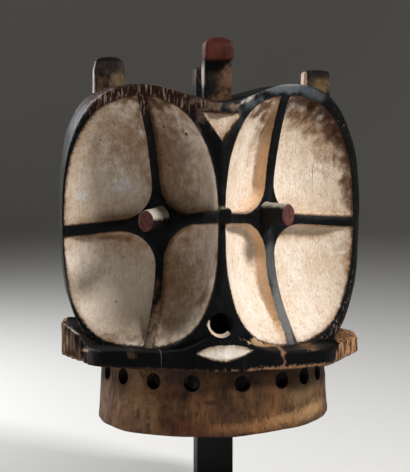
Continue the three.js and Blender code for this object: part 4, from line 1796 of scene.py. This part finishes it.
@dataclass(frozen=True)
class FacePaint:
    """Kaolin panels, ochre walls that also carry painted shade, and black pigment on one carved face."""
    cream: tuple = srgb(222, 203, 182)
    pale: tuple = srgb(238, 227, 214)
    stain: tuple = srgb(170, 137, 104)
    black: tuple = PIGMENT
    sheen: tuple = srgb(27, 30, 34)
    red: tuple = srgb(60, 29, 20)
    hatch: tuple = srgb(190, 170, 152)
    wood: tuple = srgb(112, 80, 56)
    bleached: tuple = srgb(142, 128, 116)
    bright: tuple = srgb(248, 242, 234)
    nicked: tuple = srgb(120, 88, 62)
    soiled: tuple = srgb(146, 108, 74)
    edge: tuple = srgb(66, 41, 26)
    chalk: tuple = srgb(240, 243, 252)
    # the walls' ochre, which also carries painted shade
    ochre_shade: tuple = srgb(236, 196, 156)
    thin_ochre_shade: tuple = srgb(240, 212, 180)
    dull_ochre_shade: tuple = srgb(126, 88, 58)
    dull_z: tuple = (405.0, 440.0)  # the walls' ochre and painted shade turn darker towards the top, between these heights
    low: tuple = (252.0, 206.0)
    bump: float = 2.2
    specular: float = 0.14

    def panels(self, g: Graph, panel: Wire) -> Wire:
        """Colour of the painted panels and their walls.

        Args:
            g: The material.
            panel: Distance inside the nearest panel.

        Returns:
            The colour.
        """
        broad = g.noise(36.0, 4.0, 0.6, (1, 1, 0.7))
        streak = g.noise(8.0, 4.0, 0.6, (1, 1, 0.2), (3, 1, 2))
        stroke = g.noise(2.4, 3.0, 0.6, (1, 1, 0.09), (4, 4, 4))
        fine = g.noise(2.6, 4.0, 0.72, (1, 1, 0.6), (7, 3, 1))
        rag = g.noise(6.0, 4.0, 0.65, (1, 1, 1), (6, 2, 8)) - 0.5
        nick = g.noise(2.2, 4.0, 0.75, (1, 1, 1), (1, 6, 3)) - 0.5
        color = g.mix(broad.step(0.3, 0.7), self.pale, self.cream)
        color = g.mix(streak.step(0.5, 0.8) * 0.25, color, self.stain)
        color = g.mix(fine.step(0.49, 0.68) * 0.42, color, self.stain)
        color = g.mix(stroke.step(0.52, 0.68) * 0.22, color, self.stain)
        color = g.mix(fine.step(0.47, 0.3) * 0.35, color, self.bright)
        color = g.mix(nick.step(0.1, 0.28) * 0.45, color, self.nicked)
        rim = (panel + rag * 9.0).step(9.0, 0.5) * broad.step(0.32, 0.58)
        color = g.mix(rim * 0.5, color, self.soiled)
        # broad stain marks, with painted shade and light over the left eye's panels and painted shadows under
        # the level bars
        color = g.stained_and_painted_light(color, "stains_and_painted_light")
        color = g.marked(color, g.face_plane(), [m for m in PANEL_MARKS if not m.broad])
        crumbs = g.noise(3.2, 4.0, 0.72, (1, 1, 0.7), (9, 1, 6)) + g.attribute("chalk") * 0.34
        color = g.mix(crumbs.step(0.72, 0.86) * 0.6, color, self.chalk)
        color = g.mix((panel + rag * 4.0 + nick * 4.0).step(2.5, 0.3) * 0.85, color, self.edge)
        specks = g.dots(9.0, 0.6, 0.3) + g.dots(5.0, 0.4, 0.4, (0.01, 0.02, 0.03))
        color = g.mix(specks.clamp() * 0.5, color, srgb(*SOOT))
        # painted shade: the walls by the bars take a tan ochre, strongest on the nose side of the right eye's
        # upright bar, which faces away from the light
        wall = g.attribute("wall")
        foot = EYE.wall + 0.2
        band = (panel + rag * 1.6).step(foot + 2.0, foot - 1.8)
        ochre_shade = g.mix(fine.step(0.4, 0.75) * 0.2, g.mix(broad.step(0.35, 0.65), self.ochre_shade, self.thin_ochre_shade),
                      srgb(*GRIME))
        ochre_shade = g.mix(g.axis(2).step(*self.dull_z) * 0.6, ochre_shade, self.dull_ochre_shade)
        return g.mix(band * wall, color, ochre_shade)

    def pigment(self, g: Graph) -> Wire:
        """Colour of the black bars, ridge and rim.

        Args:
            g: The material.

        Returns:
            The colour.
        """
        worn, redness = g.attribute("worn"), g.attribute("red")
        color = g.mix(g.noise(12.0, 4.0, 0.6).step(0.45, 0.75), self.black, self.sheen)
        color = g.mix(redness * 0.85, color, self.red)
        hatch = g.noise(2.2, 3.0, 0.6, (1, 0.2, 0.16), (5, 5, 1)).step(0.52, 0.64)
        color = g.mix(redness * hatch * 0.75, color, self.hatch)
        # broad marks on the black, with the painted sheen on the rim and on the right eye's lower bar
        color = g.stained_and_painted_light(color, "wear_and_sheen")
        color = g.marked(color, g.face_plane(), [m for m in PIGMENT_MARKS if not m.broad])
        chips = (g.noise(2.4, 4.0, 0.75, (1, 1, 0.6), (2, 8, 5)) + (worn - 0.78) * 0.75).step(0.5, 0.58)
        shade = g.noise(2.0, 3.0).step(0.4, 0.6)
        return g.mix(chips, color, g.mix(shade, self.wood, self.bleached))

    def build(self) -> Material:
        """Make the material."""
        g = Graph("face_paint")
        panel = g.attribute("panel")
        low = g.axis(2).step(*self.low)  # the paint breaks up more towards the chin
        flake = (g.noise(5.0, 4.0) - 0.5) * 2.0 + (g.noise(1.6, 2.0) - 0.5) * 1.2
        loose = (low * 2.2 + 0.9) * (g.attribute("wall") * -0.75 + 1.0)
        white = (panel + flake * loose).step(-0.22, 0.22)
        color = g.mix(white, self.pigment(g), self.panels(g, panel))
        rough = g.lerp(white, g.noise(10.0, 3.0).step(0.2, 0.9) * 0.2 + 0.42, 0.88)
        height = g.noise(30.0, 3.0, 0.6) * 0.3 + g.noise(7.0, 4.0, 0.65, (1, 1, 0.35)) * 0.4
        height = height + g.noise(2.2, 4.0, 0.65) * 0.24 + white * 0.14 + g.scoops(19.0) * 0.2
        return g.finish(color, rough, height, self.bump, self.specular)


@dataclass(frozen=True)
class Wood:
    """Bare or pigmented wood with an upright grain."""
    name: str
    light: tuple
    dark: tuple
    deep: tuple
    sheen: tuple = srgb(24, 26, 30)
    red: tuple = srgb(56, 31, 24)
    hatch: tuple = srgb(160, 144, 130)
    cover: bool = False  # black pigment where the mesh says
    hatched: bool = False  # red-brown pigment with pale hatching where the mesh says
    rough: float = 0.62
    bump: float = 1.2
    grain_mm: float = 3.2
    fibre: float = 0.75
    fibre_edge: tuple = (0.5, 0.74)
    blotch: float = 0.0  # strength of deep stains
    specular: float = 0.26
    stretch: tuple = (1, 1, 0.12)
    facets: float = 0.0  # usual width of a tool cut, in millimetres
    marks: tuple = ()
    plane: str = "front_plane"

    def build(self) -> Material:
        """Make the material."""
        g = Graph(self.name)
        broad = g.noise(38.0, 4.0, 0.6, (1, 1, 0.6))
        patch = g.noise(9.0, 5.0, 0.7, (1, 1, 0.6), (8, 3, 3))
        fibre = g.noise(self.grain_mm, 5.0, 0.65, self.stretch, (1, 2, 3))
        tool = g.noise(11.0, 3.0, 0.6, (1, 1, 0.45), (6, 1, 4))
        color = g.mix(broad.step(0.35, 0.7), self.light, self.dark)
        color = g.mix(patch.step(0.46, 0.66) * 0.75, color, self.dark)
        if self.facets:
            color = g.mix(g.scoops(self.facets).step(0.3, 0.75) * 0.4, color, self.light)
        if self.blotch:
            blotches = g.noise(15.0, 5.0, 0.7, (1, 1, 0.7), (3, 7, 9)).step(0.48, 0.66)
            color = g.mix(blotches * self.blotch, color, self.deep)
        color = g.mix(fibre.step(*self.fibre_edge) * self.fibre, color, self.deep)
        color = g.mix(g.dots(6.0, 0.6, 0.4) * 0.6, color, self.deep)
        rough = g.noise(16.0, 3.0).step(0.2, 0.8) * 0.2 + (self.rough - 0.1)
        if self.cover:
            cover = g.attribute("pigment")
            broken = (cover + (g.noise(7.0, 5.0, 0.7, (1, 1, 0.6), (5, 5, 2)) - 0.5) * 0.9).step(0.44, 0.56)
            coat = g.mix(tool.step(0.5, 0.75), PIGMENT, self.sheen)
            if self.hatched:
                redness = g.attribute("red")
                coat = g.mix(redness * 0.85, coat, self.red)
                coat = g.mix(redness * fibre.step(0.55, 0.7) * 0.65, coat, self.hatch)
            color = g.mix(broken, color, coat)
            rough = g.lerp(broken, rough, 0.54)
        if self.marks:
            color = g.marked(color, getattr(g, self.plane)(), self.marks)
        height = fibre * 0.4 + tool * 0.35 + broad * 0.15 + patch * 0.1
        if self.facets:
            height = height + g.scoops(self.facets) * 0.8
        return g.finish(color, rough, height, self.bump, self.specular)


@dataclass(frozen=True)
class PegShaft:
    """Peg wood painted near-black below as shade, with kaolin left along its upper side."""
    light: tuple = srgb(20, 16, 14)
    dark: tuple = srgb(9, 8, 7)
    kaolin: tuple = srgb(186, 182, 170)
    kaolin_z: tuple = (336.0, 341.0)
    grime: tuple = srgb(60, 48, 40)
    rough: float = 0.75
    bump: float = 0.8
    specular: float = 0.3

    def build(self) -> Material:
        """Make the material."""
        g = Graph("peg_shaft")
        # painted shade: only the upper side is pale and the rest near-black, the right peg's pale band drawn
        # higher and narrower
        lift = g.axis(2) + (g.noise(7.0, 3.0) - 0.5) * 6.0 - g.axis(0).above(0.0) * 12.0
        color = g.mix(g.noise(5.0, 3.0).step(0.4, 0.7), self.light, self.dark)
        color = g.mix(lift.step(*self.kaolin_z) * 0.9, color, self.kaolin)
        color = g.mix(g.noise(2.4, 4.0, 0.7).step(0.54, 0.66) * 0.3, color, self.grime)
        return g.finish(color, self.rough, g.noise(2.5, 4.0, 0.65), self.bump, self.specular)


@dataclass(frozen=True)
class PegEnd:
    """Red-brown cut ends of the pegs."""
    red: tuple = srgb(110, 64, 60)
    dark: tuple = srgb(72, 40, 38)
    worn: tuple = srgb(138, 104, 94)
    rough: float = 0.72
    bump: float = 0.6
    specular: float = 0.35

    def build(self) -> Material:
        """Make the material."""
        g = Graph("peg_end")
        color = g.mix(g.noise(4.0, 4.0, 0.65).step(0.35, 0.7), self.red, self.dark)
        color = g.mix(g.noise(1.4, 3.0, 0.7).step(0.55, 0.7) * 0.4, color, self.worn)
        return g.finish(color, self.rough, g.noise(2.0, 4.0, 0.65), self.bump, self.specular)


@dataclass(frozen=True)
class Lacquer:
    """Dark lacquered steel of the post and foot."""
    dark: tuple = srgb(8, 9, 15)
    light: tuple = srgb(13, 15, 24)
    rough: float = 0.4
    bump: float = 0.05
    specular: float = 0.3

    def build(self) -> Material:
        """Make the material."""
        g = Graph("stand_lacquer")
        cloud = g.noise(30.0, 3.0, 0.5)
        color = g.mix(cloud.step(0.3, 0.7), self.dark, self.light)
        return g.finish(color, cloud * 0.12 + self.rough, g.noise(0.8, 2.0, 0.5), self.bump, self.specular)


@dataclass(frozen=True)
class Backdrop:
    """Plain pale floor and surround."""
    color: tuple = srgb(206, 205, 202)
    rough: float = 0.9
    specular: float = 0.2

    def build(self) -> Material:
        """Make the material."""
        g = Graph("pale_backdrop")
        return g.finish(self.color, self.rough, g.noise(40.0, 2.0), 0.05, self.specular)


# The mask

class MaskPiece:
    """The carved mask as one fine mesh, with the fields that its finish reads."""

    BORE_FROM = -12.0  # the throat's cutter starts here, from the collar's foot
    BORE_TO = 98.0
    BUMP_GROW = 6.0  # how far past an eye the hollow keeps clear
    BUMP_LID = 40.0
    SHARP = math.radians(38)  # arrises sharper than this stay crisp
    OCHRE_SHADE_NEAR = (0.12, 0.9)  # strength of the ochre and painted shade on the walls, left eye and right eye
    OCHRE_SHADE_FAR = (0.5, 0.5)
    LENS_BELOW = 225.0
    FLANGE_BELOW = 222.0
    LUGS_ABOVE = 480.0
    BAND_COVER, LUG_COVER = 0.64, 0.5  # how well pigment covers them
    FIELD_REACH = 20.0  # distances are kept within this many millimetres

    def __init__(self) -> None:
        """Mix the finishes, in the order of Slot."""
        tan = dict(light=srgb(122, 87, 56), dark=srgb(66, 43, 28), deep=srgb(28, 17, 12))
        self.materials = [
            FacePaint().build(),
            Wood("band_wood", srgb(104, 78, 58), srgb(66, 46, 34), srgb(28, 20, 16), cover=True,
                 hatched=True, facets=17.0, stretch=(1, 0.2, 0.12), specular=0.2).build(),
            Wood("jaw_wood", srgb(198, 158, 122), srgb(136, 98, 68), srgb(34, 23, 17), cover=True, bump=3.2,
                 fibre=1.0, fibre_edge=(0.47, 0.6), stretch=(1, 1, 0.3), grain_mm=4.4, marks=JAW_MARKS,
                 specular=0.1).build(),
            Wood("collar_wood", rough=0.56, bump=2.4, fibre=0.6, grain_mm=2.4, facets=13.0, blotch=0.6,
                 marks=COLLAR_MARKS, plane="round_plane", **tan).build(),
            Wood("lug_wood", srgb(78, 56, 38), srgb(42, 28, 21), srgb(15, 10, 8), marks=LUG_MARKS,
                 cover=True).build(),
            PegShaft().build(),
            # painted shade: the inside, the holes and the bore are wood darkened nearly to black, as they lie
            # in shade
            Wood("inside_wood_in_shade", srgb(40, 29, 21), srgb(25, 18, 14), srgb(12, 9, 7)).build(),
            PegEnd().build(),
            Wood("lug_head", srgb(92, 40, 28), srgb(60, 27, 20), srgb(28, 14, 11), fibre=0.6,
                 grain_mm=2.6).build(),
        ]
        self.bench = PieceBench(self.materials)

    def build(self) -> Object:
        """Model, join and cut the mask."""
        bench, knob = self.bench, Forms.knob()
        mask = bench.object("carved_mask", [Skin().build()])
        bench.boolean(mask, bench.object("flange_form", [Forms.flange()]), "UNION")
        bench.boolean(mask, bench.object("collar_form", [Forms.collar()]), "UNION")
        bench.boolean(mask, self.hollow(), "DIFFERENCE")
        pegs = [Forms.peg(1.0, PEG_RIGHT), Forms.peg(-1.0, PEG_LEFT)]
        pegs += [Forms.peg(side, PEG_FAR).moved(FRAME.far) for side in (1.0, -1.0)]
        bench.boolean(mask, bench.object("pegs", pegs), "UNION")
        bench.boolean(mask, bench.object("knobs", [knob, knob.moved(FRAME.far)]), "UNION")
        for number, lug in enumerate(LUGS):
            bench.boolean(mask, lug.build(number, self.materials), "UNION")
        cutters = Forms.drills() + [Forms.mouth(), Forms.lens()]
        bench.boolean(mask, bench.object("cutters", cutters), "DIFFERENCE")
        self._fields(mask)
        select_only(mask)
        bpy.ops.object.shade_smooth_by_angle(angle=self.SHARP)
        tris = sum(len(p.vertices) - 2 for p in mask.data.polygons)
        LOG.info("carved_mask: %d triangles", tris)
        return mask

    def hollow(self) -> Object:
        """The room inside the helmet and its throat, clear of the eye dishes."""
        hollow = self.bench.object("hollow", [Forms.inner_head()])
        t = turns(120)
        rings = [np.stack([COLLAR.bore * np.sin(t), -COLLAR.bore * np.cos(t), np.full_like(t, z)], -1)
                 for z in (COLLAR.under + self.BORE_FROM, COLLAR.under + self.BORE_TO)]
        throat = self.bench.object("throat", [Part.from_loops(rings, Slot.INSIDE)])
        self.bench.boolean(hollow, throat, "UNION")
        w = HEAD.wall
        bumps = [Forms.bowl(side, lambda r: (EYE.floor_depth + w) * (1 - r ** 3) + w * r ** 3,
                            self.BUMP_GROW, self.BUMP_LID) for side in (1.0, -1.0)]
        for i, bump in enumerate(bumps + [b.moved(FRAME.far) for b in bumps]):
            self.bench.boolean(hollow, self.bench.object(f"bump_{i}", [bump]), "DIFFERENCE")
        return hollow

    @staticmethod
    def wall_ochre_shade(flat: Array, eyes: EyePair, shares: tuple) -> Array:
        """How strongly the step down from a bar is painted ochre, a colour that also stands in for the shade
        on these walls.

        Args:
            flat: Places on the unrolled face.
            eyes: Carving of the face's eyes.
            shares: Strength in the left and in the right eye.

        Returns:
            0 to 1 for each place: full on the nose side of an upright bar, weaker under a
            level bar, none where the nearest edge is the eye's outline.
        """
        e = 0.5
        s, z = flat[:, 0], flat[:, 1]
        side, u = np.where(s < 0, -1.0, 1.0), np.abs(s)
        steps = ((0, 0), (e, 0), (-e, 0), (0, e), (0, -e))
        panel, right, left, over, under = (Skin.panels(flat + step, eyes) for step in steps)
        du, dz = (right - left) / (2 * e) * side, (over - under) / (2 * e)
        edge = eyes.pick("edge", s, u, z)
        r = np.minimum(eyes.pick("measure", s, u, z), 1.0)
        drop = EYE.floor_depth * (1 - r ** 3) - EYE.bar_depth * (1 - r * r)
        toward = np.clip(-du * 1.3, 0, 1) + 0.5 * np.clip(-dz - 0.6, 0, 1)
        share = np.where(s < 0, *shares)
        return np.clip(toward, 0, 1) * share * smooth(drop / 6) * smooth((edge - panel - 0.5) / 3)

    @staticmethod
    def stains_and_painted_light(flat: Array, rag: Array, near: Array, marks: Sequence[Mark]) -> Array:
        """Colour and cover of the broad marks, laid over one another in order.

        Args:
            flat: Places on the unrolled face.
            rag: Noise about zero that breaks up their edges.
            near: Which places are on the near face.
            marks: The marks.

        Returns:
            Four values for each place: colour, and cover from 0 to 1.
        """
        color, weight, cover = np.zeros((len(flat), 3)), np.zeros(len(flat)), np.zeros(len(flat))
        for mark in (m for m in marks if m.broad):
            away, own = mark.cover(flat, rag)
            pull = np.maximum(own, 1e-3 * np.exp(-away))
            total = pull + weight * (1 - pull)
            color += (np.array(mark.color) - color) * (pull / np.maximum(total, 1e-9))[:, None]
            weight, cover = total, own + cover * (1 - own)
        return np.concatenate([color, (cover * near)[:, None]], axis=1)

    @staticmethod
    def painted(co: Array, flat: Array, near: Array) -> Array:
        """Distance inside what is painted pale: panels, triangle, lens and the mouth's lower-left lip, the
        last a painted highlight.

        Args:
            co: The mask's points.
            flat: The same on the unrolled face.
            near: Which of them are on the near face.

        Returns:
            Millimetres, negative where the pigment is black.
        """
        z = flat[:, 1]
        panel = np.where(near, Skin.panels(flat, NEAR_EYES), Skin.panels(flat, FAR_EYES))
        triangle = np.where(near, triangle_field(co[:, 0], z), -MaskPiece.FIELD_REACH)
        lens = np.where(near & (z < MaskPiece.LENS_BELOW), lens_field(co[:, 0], z), -MaskPiece.FIELD_REACH)
        # painted highlight: the mouth's lower-left lip, where the light catches it, is painted pale
        mouth_x, mouth_z = co[:, 0] - MOUTH[0], z - MOUTH[1]
        away = np.hypot(mouth_x, mouth_z) - MOUTH[2] / 2
        lower_left = -0.5 * mouth_x - 0.87 * mouth_z > 2.0
        lit_lip = near & (np.abs(away - 0.6) < 2.0) & (co[:, 1] < -120) & lower_left
        return np.where(lit_lip, 4.0, np.maximum(np.maximum(panel, triangle - 0.2), lens))

    @staticmethod
    def worn(flat: Array, u: Array, near: Array) -> Array:
        """Where the near face's black pigment is rubbed off.

        Args:
            flat: The mask's points on the unrolled face.
            u: Their distance from the nose.
            near: Which of them are on the near face.

        Returns:
            0 to 1 for each point.
        """
        s, z = flat.T
        lower_bar = np.exp(-((s + 90) / 12) ** 2 - ((z - 225) / 34) ** 2)
        outer = smooth((s - 176) / 10) * smooth((z - 370) / 30) * 0.6
        dip = np.exp(-((s / 20) ** 2)) * smooth((z - 452) / 8) * 0.7
        past = -NEAR_EYES.pick("edge", s, u, z)
        rim = smooth(past / 2) * smooth((u - 100) / 30) * (0.66 + 0.07 * smooth((270 - z) / 40))
        return np.clip(near * np.maximum.reduce([lower_bar, outer, dip, rim]), 0, 1)

    @staticmethod
    def covered(co: Array, near: Array) -> Array:
        """How well black pigment covers the band, the lugs and the flange.

        Args:
            co: The mask's points.
            near: Which of them are on the near side.

        Returns:
            0, torn or bare wood, to 1 for each point.
        """
        z = co[:, 2]
        reach = co[:, 0] - FRAME.middle_x
        left = smooth((-reach - 142 - 0.43 * (z - 184)) / 4)
        right = smooth((reach - 121 - 0.9 * np.maximum(z - 193, 0)) / 4)
        torn = np.where(reach < 0, left, np.where(near, right, smooth((reach - 145) / 5)))
        above = np.where(z > MaskPiece.LUGS_ABOVE, MaskPiece.LUG_COVER, MaskPiece.BAND_COVER)
        return np.where(z < MaskPiece.FLANGE_BELOW, 1 - torn, above)

    def _fields(self, mask: Object) -> None:
        """Store on the mesh what its finishes read: distances, stain marks and worn places with painted
        shade, light and sheen, and cover.

        Args:
            mask: The carved mask.
        """
        mesh = mask.data
        co = points_of(mesh)
        near = co[:, 1] < 0
        side, u, z, _ = FRAME.from_space(np.where(near[:, None], co, FRAME.far(co)))
        s = side * u
        flat = np.stack([s, z], -1)
        wall = np.where(near, self.wall_ochre_shade(flat, NEAR_EYES, self.OCHRE_SHADE_NEAR),
                        self.wall_ochre_shade(flat, FAR_EYES, self.OCHRE_SHADE_FAR))
        redness = np.maximum(near * smooth((z - 444) / 14) * smooth((-s - 2) / 16),
                             smooth((z - 452) / 14) * smooth((-co[:, 0] - 10) / 20))
        rag = grain(co, 11.0, 2, 6.6)
        # colour layers of the broad marks: stain marks with painted shade and light, and worn places with
        # painted sheen
        for name, rows in (("stains_and_painted_light", PANEL_MARKS), ("wear_and_sheen", PIGMENT_MARKS)):
            layer = mesh.attributes.new(name, "FLOAT_COLOR", "POINT")
            layer.data.foreach_set("color", self.stains_and_painted_light(flat, rag, near, rows).astype(np.float32).reshape(-1))
        chalk = sum(np.exp(-np.hypot(*((flat - at) / half).T) ** 3) for at, half in CHALK_PATCHES) * near
        panel = np.clip(self.painted(co, flat, near), -self.FIELD_REACH, self.FIELD_REACH)
        fields = {"chalk": chalk, "panel": panel, "wall": wall,
                  "red": redness, "worn": self.worn(flat, u, near), "pigment": self.covered(co, near)}
        for name, values in fields.items():
            layer = mesh.attributes.new(name, "FLOAT", "POINT")
            layer.data.foreach_set("value", values.astype(np.float32))


@dataclass(frozen=True)
class Stand:
    """The square post and its guessed foot plate."""
    material: Material
    post_soft: float = 1.6
    plate_soft: float = 1.8
    sharp: float = math.radians(30)

    def block(self, name: str, node: str, soft: float) -> None:
        """A softened block over a CAD node.

        Args:
            name: The new piece's name.
            node: The node that it stands for.
            soft: Width of its rounded edges, in millimetres.
        """
        low, high = (Vector(v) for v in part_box(node))
        obj = soft_block(name, high - low, (high + low) / 2, soft)
        bpy.ops.object.shade_smooth_by_angle(angle=self.sharp)
        obj.data.materials.clear()
        obj.data.materials.append(self.material)
        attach(obj, "root")
        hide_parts(node)
        LOG.info("%s: softened block", name)

    def build(self) -> None:
        """Make both blocks."""
        self.block("square_post", "display_post", self.post_soft)
        self.block("foot_plate", "display_foot", self.plate_soft)


# The studio

def stand_off(name: str, data: bpy.types.ID, aim: Vector, azimuth: float, elevation: float,
              distance: float) -> Object:
    """Place a camera or lamp so that it looks at a point.

    Args:
        name: The object's name.
        data: The camera or lamp.
        aim: What it looks at, in metres.
        azimuth: Where it stands, in degrees to the right of the front.
        elevation: Its height over the aim, in degrees.
        distance: How far off it is, in metres.

    Returns:
        The object.
    """
    a, e = math.radians(azimuth), math.radians(elevation)
    way = Vector((math.sin(a) * math.cos(e), -math.cos(a) * math.cos(e), math.sin(e)))
    obj = bpy.data.objects.new(name, data)
    turn = way.to_track_quat("Z", "Y").to_matrix().to_4x4()
    obj.matrix_world = Matrix.Translation(aim + way * distance) @ turn
    bpy.context.scene.collection.objects.link(obj)
    return obj


@dataclass(frozen=True)
class Lamp:
    """One soft area light aimed at the mask."""
    name: str
    azimuth: float  # degrees to the right of the front
    elevation: float
    distance: float
    size: float
    power: float
    color: tuple

    def build(self, aim: Vector) -> None:
        """Make the light.

        Args:
            aim: What it shines at.
        """
        data = bpy.data.lights.new(self.name, "AREA")
        data.size = self.size
        data.energy = self.power
        data.color = self.color
        stand_off(self.name, data, aim, self.azimuth, self.elevation, self.distance)


class Studio:
    """Camera, surround and lights."""

    TARGET = Vector((-0.009, 0.0, 0.3124))
    DISTANCE = 1.7
    AZIMUTH = -7.0  # degrees to the right of the front
    ELEVATION = 4.8
    SCALE = 1.117e-3  # metres to a pixel of the photograph, at the target
    FRAME_PIXELS = (410, 472)
    SENSOR = 36.0
    AIM = Vector((0.0, 0.0, 0.32))
    SURROUND = (4.0, 2.5, 5.0)  # flat radius, radius of the turn, height of the wall
    AROUND = 72
    TURN_STEPS = 12
    SINK = 0.0005  # the floor lies this far under the foot plate
    SKY = (0.90, 0.81, 0.70, 1)
    SKY_STRENGTH = 0.042
    GAMMA = 0.88
    LAMPS = (
        Lamp("key", 47.0, 40.0, 2.3, 0.42, 60.0, (1.0, 0.99, 0.975)),
        Lamp("fill", -38.0, 14.0, 2.4, 1.6, 1.5, (1.0, 0.76, 0.55)),
        Lamp("rim", -122.0, 24.0, 2.0, 0.5, 62.0, (0.95, 0.97, 1.0)),
    )

    def camera(self) -> None:
        """Camera at the photograph's angle."""
        data = bpy.data.cameras.new("camera")
        data.sensor_width = self.SENSOR
        data.lens = data.sensor_width * self.DISTANCE / self.SCALE / max(self.FRAME_PIXELS)
        bpy.context.scene.camera = stand_off("camera", data, self.TARGET, self.AZIMUTH, self.ELEVATION,
                                             self.DISTANCE)

    def surround(self, material: Material) -> None:
        """A round pale floor that turns up into a wall with no edge.

        Args:
            material: Its finish.
        """
        flat, turn, tall = self.SURROUND
        steps = [math.pi / 2 * i / self.TURN_STEPS for i in range(self.TURN_STEPS + 1)]
        profile = [(flat + turn * math.sin(a), turn * (1 - math.cos(a))) for a in steps]
        profile.append((flat + turn, tall))
        around = self.AROUND
        points = [(0.0, 0.0, 0.0)]
        points += [(r * math.cos(2 * math.pi * k / around), r * math.sin(2 * math.pi * k / around), z)
                   for r, z in profile for k in range(around)]
        faces = [(0, 1 + k, 1 + (k + 1) % around) for k in range(around)]
        for j in range(len(profile) - 1):
            low = 1 + j * around
            faces += [(low + k, low + around + k, low + around + (k + 1) % around, low + (k + 1) % around)
                      for k in range(around)]
        mesh = bpy.data.meshes.new("surround")
        mesh.from_pydata([(x, y, z - self.SINK) for x, y, z in points], [], faces)
        mesh.materials.append(material)
        mesh.polygons.foreach_set("use_smooth", [True] * len(faces))
        obj = bpy.data.objects.new("surround", mesh)
        bpy.context.scene.collection.objects.link(obj)

    def world(self) -> None:
        """Even pale surroundings."""
        world = bpy.data.worlds.new("world")
        world.use_nodes = True
        world.node_tree.nodes["Background"].inputs[0].default_value = self.SKY
        world.node_tree.nodes["Background"].inputs[1].default_value = self.SKY_STRENGTH
        bpy.context.scene.world = world

    def build(self) -> None:
        """Set everything up."""
        bpy.context.scene.view_settings.view_transform = "Standard"
        bpy.context.scene.view_settings.gamma = self.GAMMA
        self.camera()
        self.surround(Backdrop().build())
        self.world()
        for lamp in self.LAMPS:
            lamp.build(self.AIM)


def main() -> None:
    """Build the whole scene."""
    Studio().build()
    mask = MaskPiece().build()
    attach(mask, "root")
    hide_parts("helmet_mask")
    Stand(Lacquer().build()).build()


if __name__ == "__main__":
    main()
